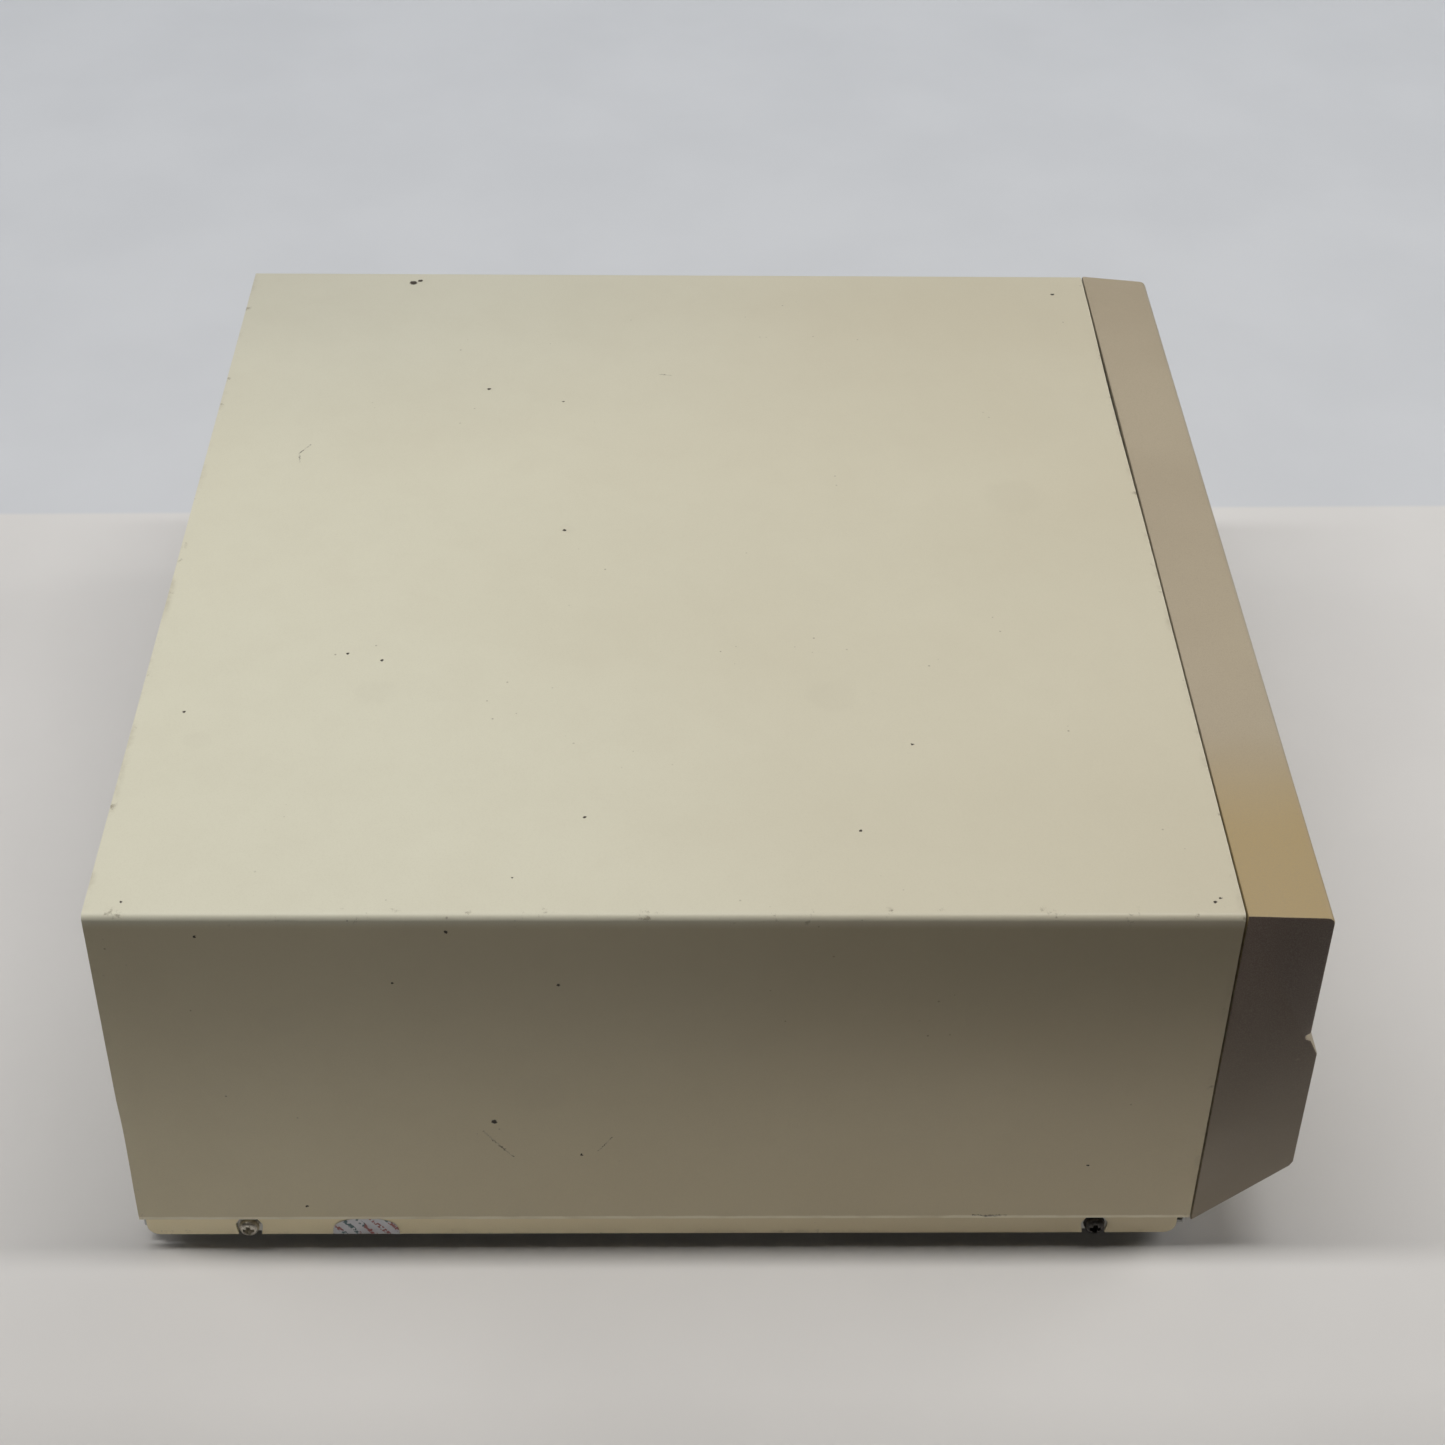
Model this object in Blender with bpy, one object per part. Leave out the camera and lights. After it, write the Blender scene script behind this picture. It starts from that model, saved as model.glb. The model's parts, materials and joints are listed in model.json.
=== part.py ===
"""Desktop computer system unit of the late 1980s, as an assembly of separate pieces.

Metres, +Z up. The front faces -Y and the width runs along X. The origin is on the desk, under the middle of
the object's box. Blocks are given by their lowest and highest corner, and an outline by the two axes that it
lies in.
"""

import math

import bmesh
import bpy
from mathutils import Matrix, Vector

GAP = 0.0003                      # left between pieces that touch
SHEET = 0.0010                    # steel sheet of the case

# Cover: one folded sheet, top and two sides, with a stepped lip along each lower edge
COVER_WIDTH = 0.4370
COVER_DEPTH = 0.3800
COVER_BEND = 0.0023               # outer radius of the two long bends
LIP_STEP = 0.0013                 # how far the lip stands in from the side
LIP_HEIGHT = 0.0095
SIDE_HEIGHT = 0.1480              # from the lip's fold to the top
LIP_REAR_INSET = 0.0020
LIP_FRONT_INSET = 0.0040
LIP_CORNER = 0.0045
SCREW_FROM_REAR = (0.0389, 0.3460)
SCREW_BELOW_FOLD = 0.0050

# Overall
FOOT_HEIGHT = 0.0060
BEZEL_DEPTH = 0.0340              # from the cover's front edge to the foremost face
REAR_STICK = 0.0050               # how far the rear sockets stand past the cover
SEAM = 0.0007                     # between the cover and the bezel
DEPTH = COVER_DEPTH + BEZEL_DEPTH + REAR_STICK
COVER_REAR = DEPTH / 2 - REAR_STICK
COVER_FRONT = COVER_REAR - COVER_DEPTH
LIP_BOTTOM = FOOT_HEIGHT
FOLD = LIP_BOTTOM + LIP_HEIGHT
TOP = FOLD + SIDE_HEIGHT
HALF = COVER_WIDTH / 2
LIP_FACE = HALF - LIP_STEP

# Chassis
TRAY_HALF = LIP_FACE - SHEET - GAP
TRAY_BOTTOM = LIP_BOTTOM + 0.0005
FLOOR = TRAY_BOTTOM + 0.0012
TRAY_WALL_TOP = 0.0320
PANEL_HALF = TRAY_HALF - SHEET - GAP
PANEL_BACK = COVER_REAR - 0.0005
PANEL_INNER = PANEL_BACK - SHEET
PANEL_TOP = TOP - SHEET - 0.0006
FRAME_FRONT = COVER_FRONT + 0.0003

# Bezel: heights are above the fold, depths from the cover's front edge
BEZEL_WALL = 0.0025
BEZEL_TAPER = 0.0013              # how much each end draws in towards the front
UPPER_FACE = 0.0303
LOWER_FACE = BEZEL_DEPTH
UPPER_FACE_Y = COVER_FRONT - UPPER_FACE
LOWER_FACE_Y = COVER_FRONT - LOWER_FACE

# Drive bays
BAY_X = (0.0622, 0.2098)
UPPER_BAY_Z = (0.1138, 0.1552)
LOWER_BAY_Z = (0.0558, 0.0972)
BAY_CLEAR = 0.0004
CAGE_X = (0.0605, 0.2115)
CAGE_Y = (FRAME_FRONT + SHEET + 0.0007, 0.0280)
DRIVE_X = (0.0630, 0.2090)
DISK_X = (0.0700, 0.2020)         # slot of the 5.25-inch drive
SLOT_Z = 0.1345                   # middle of that slot
LEVER_AT = (0.1360, SLOT_Z + 0.0085)
SMALL_DRIVE_X = (0.0853, 0.1867)
SMALL_DRIVE_Z = (0.0638, 0.0892)
SMALL_SLOT_X = (0.0890, 0.1830)
SMALL_SLOT_Z = (0.0790, 0.0838)
EJECT_AT = (0.1730, 0.0705)

# Power supply
SUPPLY_X = (0.0540, 0.2120)
SUPPLY_Y = (0.0520, PANEL_INNER - 0.0005)
SUPPLY_Z = (FLOOR + GAP, 0.1500)
FAN_AT = (0.1040, 0.0960)
FAN_SIDE = 0.0800
INLET_AT = (0.1800, 0.1220)
SWITCH_AT = (0.1800, 0.0860)
SELECTOR_AT = (0.1800, 0.0560)

# Motherboard and cards
BOARD_X = (-0.2070, 0.0130)
BOARD_Y = (-0.1300, 0.1960)
BOARD_Z = (FLOOR + 0.0058, FLOOR + 0.0074)
SLOT_PITCH = 0.02032
SLOT_COUNT = 5
FIRST_SLOT = -0.1860
SOCKET_Y = (0.0360, 0.1720)
BRACKET_Y = (PANEL_INNER - GAP - SHEET, PANEL_INNER - GAP)
BRACKET_TOP = 0.1313
FIRST_MEMORY = -0.0320
MEMORY_PITCH = 0.0100
MEMORY_Y = (-0.1240, -0.0320)
KEYBOARD_AT = (-0.0600, 0.0265)

PLANES = {"X": (1, 2, 0), "Y": (0, 2, 1), "Z": (0, 1, 2)}


# ---------------------------------------------------------------- tools

def clear_scene():
    for obj in list(bpy.data.objects):
        bpy.data.objects.remove(obj)


def material(name, colour, roughness, metallic=0.0):
    made = bpy.data.materials.new(name)
    made.use_nodes = True
    shader = made.node_tree.nodes["Principled BSDF"]
    shader.inputs["Base Color"].default_value = (*colour, 1.0)
    shader.inputs["Roughness"].default_value = roughness
    shader.inputs["Metallic"].default_value = metallic
    return made


def mesh_object(name, bm, finish=None):
    bmesh.ops.recalc_face_normals(bm, faces=bm.faces)
    mesh = bpy.data.meshes.new(name)
    bm.to_mesh(mesh)
    bm.free()
    obj = bpy.data.objects.new(name, mesh)
    bpy.context.scene.collection.objects.link(obj)
    if finish:
        mesh.materials.append(finish)
    return obj


def add_prism(bm, outline, axis, start, end):
    """Draws a closed outline out along an axis, between two places on it."""
    first, second, along = PLANES[axis]
    rings = []
    for place in (start, end):
        ring = []
        for p, q in outline:
            corner = [0.0, 0.0, 0.0]
            corner[first], corner[second], corner[along] = p, q, place
            ring.append(bm.verts.new(corner))
        rings.append(ring)
    bm.faces.new(rings[0])
    bm.faces.new(rings[1][::-1])
    count = len(outline)
    for i in range(count):
        j = (i + 1) % count
        bm.faces.new((rings[0][i], rings[0][j], rings[1][j], rings[1][i]))


def prism(name, outline, axis, start, end, finish=None):
    bm = bmesh.new()
    add_prism(bm, outline, axis, start, end)
    return mesh_object(name, bm, finish)


def rectangle(x, y):
    return [(x[0], y[0]), (x[1], y[0]), (x[1], y[1]), (x[0], y[1])]


def blocks(name, corners, finish=None):
    """One object of separate blocks, each given as its x, y and z ranges."""
    bm = bmesh.new()
    for x, y, z in corners:
        add_prism(bm, rectangle(x, y), "Z", *z)
    return mesh_object(name, bm, finish)


def block(name, x, y, z, finish=None):
    return blocks(name, [(x, y, z)], finish)


def arc(centre, radius, start, end, steps):
    """Points along an arc, angles in degrees."""
    angles = [math.radians(start + (end - start) * i / steps) for i in range(steps + 1)]
    return [(centre[0] + radius * math.cos(a), centre[1] + radius * math.sin(a)) for a in angles]


def round_rectangle(x, y, radius, steps=3):
    outline = []
    for i, (cx, cy) in enumerate(((x[1], y[1]), (x[0], y[1]), (x[0], y[0]), (x[1], y[0]))):
        side_x, side_y = (-1, 1, 1, -1)[i], (-1, -1, 1, 1)[i]
        middle = (cx + side_x * radius, cy + side_y * radius)
        outline += arc(middle, radius, 90 * i, 90 * i + 90, steps)
    return outline


def circle(centre, radius, steps):
    return arc(centre, radius, 0, 360, steps)[:-1]


def turned(name, profile, origin, direction, steps, finish=None):
    """A solid of revolution: the profile gives distances along the axis and radii, end face to end face."""
    bm = bmesh.new()
    turn = Vector((0, 0, 1)).rotation_difference(Vector(direction))
    rings = []
    for along, radius in profile:
        ring = [Vector((*point, along)) for point in circle((0, 0), radius, steps)]
        rings.append([bm.verts.new(Vector(origin) + turn @ point) for point in ring])
    for low, high in zip(rings, rings[1:]):
        for i in range(steps):
            j = (i + 1) % steps
            bm.faces.new((low[i], low[j], high[j], high[i]))
    bm.faces.new(rings[0][::-1])
    bm.faces.new(rings[-1])
    obj = mesh_object(name, bm, finish)
    obj.data.shade_smooth()
    obj.data.set_sharp_from_angle(angle=math.radians(35))
    return obj


def combine(obj, operation, helpers):
    for helper in helpers:
        helper.hide_render = True
        helper.display_type = "WIRE"
        modifier = obj.modifiers.new(operation.lower(), "BOOLEAN")
        modifier.operation = operation
        modifier.solver = "EXACT"
        modifier.object = helper
    return obj


def carve(obj, *helpers):
    return combine(obj, "DIFFERENCE", helpers)


def fuse(obj, *helpers):
    return combine(obj, "UNION", helpers)


def soften(obj, width, segments=2):
    """Rounds the sharp edges of a piece."""
    bevel = obj.modifiers.new("edges", "BEVEL")
    bevel.width = width
    bevel.segments = segments
    bevel.limit_method = "ANGLE"
    bevel.angle_limit = math.radians(40)
    return obj


def put_origin(obj, point):
    """Moves the object's origin to the joint's axis and leaves its shape where it is."""
    obj.data.transform(Matrix.Translation(-Vector(point)))
    obj.location = point
    return obj


def around(centre, size):
    return (centre - size / 2, centre + size / 2)


# ---------------------------------------------------------------- materials

def make_materials():
    return {
        "cover_paint": material("cover_paint", (0.60, 0.56, 0.45), 0.45),
        "chassis_steel": material("chassis_steel", (0.56, 0.56, 0.54), 0.38, 0.9),
        "bezel_plastic": material("bezel_plastic", (0.37, 0.32, 0.24), 0.55),
        "beige_plastic": material("beige_plastic", (0.58, 0.52, 0.40), 0.55),
        "black_plastic": material("black_plastic", (0.02, 0.02, 0.022), 0.5),
        "drive_casting": material("drive_casting", (0.52, 0.52, 0.52), 0.45, 0.9),
        "circuit_board": material("circuit_board", (0.03, 0.16, 0.07), 0.5),
        "bright_screw": material("bright_screw", (0.62, 0.60, 0.54), 0.35, 1.0),
        "dark_screw": material("dark_screw", (0.06, 0.055, 0.05), 0.45, 0.8),
        "foot_rubber": material("foot_rubber", (0.03, 0.03, 0.03), 0.85),
        "cable_grey": material("cable_grey", (0.45, 0.45, 0.46), 0.6),
        "seal_foil": material("seal_foil", (0.75, 0.75, 0.76), 0.4),
        "green_lens": material("green_lens", (0.05, 0.45, 0.12), 0.25),
        "red_lens": material("red_lens", (0.55, 0.04, 0.03), 0.25),
    }


# ---------------------------------------------------------------- cover

def seam_bow(x):
    """How far the top's front edge stands back, where the seam to the bezel opens up."""
    start, peak, end, most = -0.0150, 0.1140, 0.1900, 0.0006
    if not start < x < end:
        return 0.0
    share = (x - start) / (peak - start) if x < peak else (end - x) / (end - peak)
    return most * math.sin(share * math.pi / 2) ** 2


def edge_dent(y, z):
    """How far the left side's rear edge is knocked in, below the middle of its height."""
    reach, low, sharp, most = 0.0100, FOLD + 0.0050, FOLD + 0.0620, 0.0011
    if y < COVER_REAR - reach or not low < z < sharp:
        return 0.0
    inward = 1 - (COVER_REAR - y) / reach
    share = (z - low) / (sharp - low)
    return most * inward ** 2 * math.sin(math.pi * share ** 1.6)


def cover_section():
    """Pairs of an outer and an inner point, from the left lip's edge over the top to the right lip's edge."""
    lip_inner = LIP_FACE - SHEET
    left = [
        ((-LIP_FACE, LIP_BOTTOM), (-lip_inner, LIP_BOTTOM)),
        ((-LIP_FACE, FOLD - 0.0006), (-lip_inner, FOLD)),
        ((-HALF, FOLD), (-HALF + SHEET, FOLD + 0.0008)),
    ]
    for rise in (0.0050, 0.0160, 0.0280, 0.0380, 0.0460, 0.0540, 0.0590, 0.0620, 0.1000):
        left.append(((-HALF, FOLD + rise), (-HALF + SHEET, FOLD + rise)))
    bend = (-HALF + COVER_BEND, TOP - COVER_BEND)
    steps = 6
    outer = arc(bend, COVER_BEND, 180, 90, steps)
    inner = arc(bend, COVER_BEND - SHEET, 180, 90, steps)
    left += list(zip(outer, inner))
    right = [((-ox, oz), (-ix, iz)) for (ox, oz), (ix, iz) in reversed(left)]
    tops = [-0.19 + 0.02 * i for i in range(20)]
    return left + [((x, TOP), (x, TOP - SHEET)) for x in tops] + right


def make_top_cover(finish):
    section = cover_section()
    rows = [COVER_FRONT, COVER_FRONT + 0.004, 0.0]
    rows += [COVER_REAR - back for back in (0.0100, 0.0075, 0.0050, 0.0025, 0.0)]
    bm = bmesh.new()

    def vertex(x, z, y):
        if y == COVER_FRONT and z > TOP - 2 * SHEET:
            y += seam_bow(x)
        if x < -HALF + 2 * SHEET:
            x += edge_dent(y, z)
        return bm.verts.new((x, y, z))

    outer = [[vertex(x, z, y) for (x, z), _ in section] for y in rows]
    inner = [[vertex(x, z, y) for _, (x, z) in section] for y in rows]
    for skin in (outer, inner):
        for near, far in zip(skin, skin[1:]):
            for i in range(len(section) - 1):
                bm.faces.new((near[i], near[i + 1], far[i + 1], far[i]))
    for end in (0, -1):
        for i in range(len(section) - 1):
            bm.faces.new((outer[end][i], outer[end][i + 1], inner[end][i + 1], inner[end][i]))
        for r in range(len(rows) - 1):
            bm.faces.new((outer[r][end], outer[r + 1][end], inner[r + 1][end], inner[r][end]))
    cover = mesh_object("top_cover", bm, finish)
    cover.data.shade_smooth()
    cover.data.set_sharp_from_angle(angle=math.radians(35))
    return carve(cover, lip_cutters())


def lip_cutters():
    """The two rounded ends of both lips, and the notches that clear the screws."""
    bm = bmesh.new()
    low, high = LIP_BOTTOM - 0.001, FOLD - 0.0004
    for end, way, inset in ((COVER_REAR, 1, LIP_REAR_INSET), (COVER_FRONT, -1, LIP_FRONT_INSET)):
        edge = end - way * inset
        middle = (edge - way * LIP_CORNER, LIP_BOTTOM + LIP_CORNER)
        corner = arc(middle, LIP_CORNER, 0 if way > 0 else 180, -90 if way > 0 else 270, 5)
        beyond = end + way * 0.001
        outline = [(edge, high)] + corner + [(middle[0], low), (beyond, low), (beyond, high)]
        add_prism(bm, outline, "X", -HALF - 0.001, HALF + 0.001)
    flat, widest, mouth = 0.0029, 0.0048, 0.0042
    for back in SCREW_FROM_REAR:
        y = COVER_REAR - back
        half = [(mouth, low), (mouth, LIP_BOTTOM), (widest, LIP_BOTTOM + 0.0042)]
        half += [(widest, LIP_BOTTOM + 0.0055), (flat, FOLD - 0.0009)]
        outline = [(y + across, z) for across, z in half] + [(y - across, z) for across, z in reversed(half)]
        add_prism(bm, outline, "X", -HALF - 0.001, HALF + 0.001)
    return mesh_object("lip_cutters", bm)


def make_cover_screws(bright, dark):
    """Pan heads with a washer face and a cross recess, two on each side."""
    washer, head, shank = 0.0039, 0.0037, 0.0019
    for side, label in ((-1, "left"), (1, "right")):
        for back, end in zip(SCREW_FROM_REAR, ("rear", "front")):
            z = FOLD - SCREW_BELOW_FOLD
            y = COVER_REAR - back
            name = f"cover_screw_{label}_{end}"
            finish = dark if (label, end) == ("left", "front") else bright
            profile = [(-0.0035, shank), (0.0003, shank), (0.0003, washer), (0.0010, washer),
                       (0.0011, head), (0.0027, head), (0.0036, 0.0031), (0.0041, 0.0019)]
            base = (side * TRAY_HALF, y, z)
            screw = turned(name, profile, base, (side, 0, 0), 20, finish)
            deep = (side * (TRAY_HALF + 0.0020), side * (TRAY_HALF + 0.0060))
            span = (min(deep), max(deep))
            cross = [block(name + "_recess_a", span, around(y, 0.0036), around(z, 0.0012)),
                     block(name + "_recess_b", span, around(y, 0.0012), around(z, 0.0036))]
            carve(screw, *cross)


def make_tamper_seal(finish):
    """A paper-thin sticker on the left lip, with a rounded upper edge that reaches the fold."""
    rear, front = COVER_REAR - 0.0690, COVER_REAR - 0.0930
    low, high = LIP_BOTTOM + 0.0003, FOLD - 0.0008
    middle, half = (rear + front) / 2, (rear - front) / 2
    rise = high - low
    outline = [(middle + half * math.cos(t), low + rise * math.sin(t) ** 0.62)
               for t in (math.pi * i / 14 for i in range(15))]
    face = -LIP_FACE - 0.0001
    return prism("tamper_seal", outline, "X", face - 0.0001, face, finish)


# ---------------------------------------------------------------- chassis

def make_chassis_tray(finish):
    inner = TRAY_HALF - SHEET
    outline = [(-TRAY_HALF, TRAY_BOTTOM), (TRAY_HALF, TRAY_BOTTOM), (TRAY_HALF, TRAY_WALL_TOP),
               (inner, TRAY_WALL_TOP), (inner, FLOOR), (-inner, FLOOR), (-inner, TRAY_WALL_TOP),
               (-TRAY_HALF, TRAY_WALL_TOP)]
    tray = prism("chassis_tray", outline, "Y", FRAME_FRONT, PANEL_BACK, finish)
    bosses = bmesh.new()
    for x in (-0.1990, -0.1000, 0.0050):
        for y in (-0.1200, 0.0150, 0.1860):
            add_prism(bosses, circle((x, y), 0.0040, 8), "Z", FLOOR - 0.0005, BOARD_Z[0] - GAP)
    fuse(tray, mesh_object("board_bosses", bosses))
    holes = bmesh.new()
    for back in SCREW_FROM_REAR:
        centre = (COVER_REAR - back, FOLD - SCREW_BELOW_FOLD)
        add_prism(holes, circle(centre, 0.0023, 12), "X", -HALF, HALF)
    wall, height = TRAY_HALF - 0.0030, (TRAY_BOTTOM - 0.001, TRAY_WALL_TOP + 0.001)
    notches = [(x, y, height) for x in ((-HALF, -wall), (wall, HALF))
               for y in ((FRAME_FRONT - 0.001, FRAME_FRONT + 0.0060), (PANEL_BACK - 0.0040, PANEL_BACK + 0.001))]
    return carve(tray, mesh_object("screw_holes", holes), blocks("corner_notches", notches))


def make_front_frame(finish):
    """The steel wall behind the bezel, open for the two drive bays, the controls and the air."""
    frame = block("front_frame", (-PANEL_HALF, PANEL_HALF), (FRAME_FRONT, FRAME_FRONT + SHEET),
                  (FLOOR + GAP, PANEL_TOP), finish)
    through = (FRAME_FRONT - 0.001, FRAME_FRONT + 2 * SHEET)
    bay = (BAY_X[0] - BAY_CLEAR, BAY_X[1] + BAY_CLEAR)
    openings = [(bay, through, (z[0] - BAY_CLEAR, z[1] + BAY_CLEAR)) for z in (UPPER_BAY_Z, LOWER_BAY_Z)]
    openings += [((-0.1900, -0.0800), through, (0.1220, 0.1480))]
    openings += [((x, x + 0.0600), through, (0.0480, 0.0900)) for x in (-0.1950, -0.1250, -0.0550)]
    return carve(frame, blocks("frame_openings", openings))


def slot_x(number):
    return FIRST_SLOT + SLOT_PITCH * number


def make_rear_panel(finish):
    """The rear wall, notched for the keyboard socket, with a ledge inside it for the brackets' tabs."""
    panel = block("rear_panel", (-PANEL_HALF, PANEL_HALF), (PANEL_INNER, PANEL_BACK),
                  (FLOOR + GAP, PANEL_TOP), finish)
    low, high = slot_x(0) - 0.0120, slot_x(SLOT_COUNT - 1) + 0.0120
    ledge_y = (PANEL_INNER - 0.0140, PANEL_INNER - 0.0018)
    ledge_z = (BRACKET_TOP - 0.0023, BRACKET_TOP - 0.0013)
    fuse(panel, block("bracket_ledge", (low, high), ledge_y, ledge_z))
    end_y = (ledge_y[0] + 0.0002, PANEL_INNER + 0.0005)
    end_z = (ledge_z[0] - 0.0060, ledge_z[1] + 0.0001)
    ends = [((x, x + 0.0020), end_y, end_z) for x in (low, high - 0.0020)]
    fuse(panel, blocks("ledge_ends", ends))
    through = (PANEL_INNER - 0.0005, PANEL_BACK + 0.0010)
    openings = [(around(slot_x(n), 0.0130), through, (0.0230, 0.1240)) for n in range(SLOT_COUNT)]
    openings += [((SUPPLY_X[0] + 0.0040, SUPPLY_X[1] - 0.0040), through, (0.0150, 0.1450))]
    openings += [((-0.0820 + 0.0130 * n, -0.0740 + 0.0130 * n), through, (0.0700, 0.1200)) for n in range(9)]
    openings += [(around(KEYBOARD_AT[0], 0.0192), through, (0.0, KEYBOARD_AT[1] + 0.0096))]
    return carve(panel, blocks("panel_openings", openings))


def make_drive_cage(finish):
    cage = block("drive_cage", CAGE_X, CAGE_Y, (FLOOR + GAP, 0.1580), finish)
    inside = (CAGE_X[0] + SHEET, CAGE_X[1] - SHEET)
    through = (CAGE_Y[0] - 0.001, CAGE_Y[1] + 0.001)
    floor = FLOOR + GAP + SHEET
    levels = [(inside, through, z) for z in ((floor, 0.0535), (0.0545, 0.1050), (0.1060, 0.1570))]
    carve(cage, blocks("cage_levels", levels))
    across = (CAGE_X[0] - 0.001, CAGE_X[1] + 0.001)
    windows = []
    for z in ((0.0180, 0.0440), (0.0640, 0.0950), (0.1160, 0.1470)):
        windows += [(across, y, z) for y in ((-0.1500, -0.1100), (-0.0500, -0.0100))]
    return carve(cage, blocks("cage_windows", windows))


def make_feet(finish):
    profile = [(0.0, 0.0088), (0.0008, 0.0098), (0.0052, 0.0105), (FOOT_HEIGHT + 0.0002, 0.0100)]
    for side, label in ((-1, "left"), (1, "right")):
        for y, end in ((-0.1450, "front"), (0.1650, "rear")):
            turned(f"foot_{end}_{label}", profile, (side * 0.1850, y, 0.0), (0, 0, 1), 20, finish)


# ---------------------------------------------------------------- bezel

def bezel_outline(inset):
    """The bezel's section in Y and Z, drawn in from its outer face by the given wall."""
    front, upper = LOWER_FACE - inset, UPPER_FACE - inset
    rear = SEAM if not inset else -0.0100
    top_front = SIDE_HEIGHT - 0.0020 - inset
    top_rear = SIDE_HEIGHT - inset
    slope = 0.0282 / 0.0324
    drop = inset * math.hypot(1, slope)
    chamfer_top = 0.0265 + (drop - inset * slope)
    points = [(rear, -0.0022 + drop + slope * (rear - SEAM))]
    points += [(front - 0.0011, chamfer_top - 0.0008), (front, chamfer_top + 0.0014)]
    points += [(front, 0.0822), (front - 0.0004, 0.0831), (upper + 0.0005, 0.0890)]
    points += [(upper - 0.0016, 0.0899), (upper - 0.0016, 0.0914), (upper, 0.0925)]
    corner = 0.0030 - min(inset, 0.0010)
    points += arc((upper - corner, top_front - corner), corner, 0, 86, 5)
    points += [(rear, top_rear - 0.0001)]
    return [(COVER_FRONT - depth, FOLD + height) for depth, height in points]


def tapered(obj):
    """Draws the bezel's two ends in towards its front."""
    for vertex in obj.data.vertices:
        share = max(0.0, (COVER_FRONT - SEAM - vertex.co.y) / (BEZEL_DEPTH - SEAM))
        vertex.co.x -= math.copysign(BEZEL_TAPER * share, vertex.co.x)
    return obj


def make_front_bezel(finish):
    outer = HALF - 0.0002
    bezel = tapered(prism("front_bezel", bezel_outline(0.0), "X", -outer, outer, finish))
    bezel.data.shade_smooth()
    bezel.data.set_sharp_from_angle(angle=math.radians(35))
    soften(bezel, 0.0009)
    inner = outer - BEZEL_WALL
    carve(bezel, tapered(prism("bezel_hollow", bezel_outline(BEZEL_WALL), "X", -inner, inner)))
    bosses = bmesh.new()
    for x in (-0.2070, 0.0300):
        for z, face in ((0.0520, LOWER_FACE_Y), (0.1400, UPPER_FACE_Y)):
            add_prism(bosses, circle((x, z), 0.0042, 8), "Y", FRAME_FRONT - 0.0005, face + 0.0015)
    fuse(bezel, mesh_object("bezel_bosses", bosses))
    through = (LOWER_FACE_Y - 0.001, UPPER_FACE_Y + 0.0060)
    bay = (BAY_X[0] - BAY_CLEAR, BAY_X[1] + BAY_CLEAR)
    openings = [(bay, through, (z[0] - BAY_CLEAR, z[1] + BAY_CLEAR)) for z in (UPPER_BAY_Z, LOWER_BAY_Z)]
    for row in range(6):
        z = 0.0500 + 0.0075 * row
        openings += [((x, x + 0.0640), through, (z, z + 0.0030)) for x in (-0.1950, -0.1250, -0.0550)]
    openings += [(around(x, 0.0104), through, around(SLOT_Z, 0.0044)) for x in (-0.1420, -0.1220)]
    carve(bezel, blocks("bezel_openings", openings))
    holes = bmesh.new()
    add_prism(holes, circle((-0.1750, SLOT_Z), 0.0063, 20), "Y", *through)
    add_prism(holes, circle((-0.0980, SLOT_Z), 0.0053, 20), "Y", *through)
    return carve(bezel, mesh_object("bezel_holes", holes))


def make_front_controls(m):
    for x, label, finish in ((-0.1420, "power", "green_lens"), (-0.1220, "disk", "red_lens")):
        block(f"{label}_led", around(x, 0.0098), (UPPER_FACE_Y - 0.0004, UPPER_FACE_Y + 0.0080),
              around(SLOT_Z, 0.0038), m[finish])
    barrel = [(-0.0190, 0.0045), (-0.0060, 0.0045), (-0.0060, 0.0059), (0.0012, 0.0059), (0.0018, 0.0054)]
    lock_at = (-0.1750, UPPER_FACE_Y, SLOT_Z)
    lock = turned("key_lock", barrel, lock_at, (0, -1, 0), 24, m["bright_screw"])
    put_origin(lock, lock_at)
    front = (UPPER_FACE_Y - 0.0030, UPPER_FACE_Y + 0.0030)
    carve(lock, block("key_way", around(-0.1750, 0.0014), front, around(SLOT_Z, 0.0066)))
    button = [(-0.0100, 0.0040), (-0.0045, 0.0040), (-0.0045, 0.0049), (0.0016, 0.0049), (0.0024, 0.0042)]
    reset_at = (-0.0980, UPPER_FACE_Y, SLOT_Z)
    put_origin(turned("reset_button", button, reset_at, (0, -1, 0), 24, m["beige_plastic"]), reset_at)


# ---------------------------------------------------------------- drives

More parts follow.
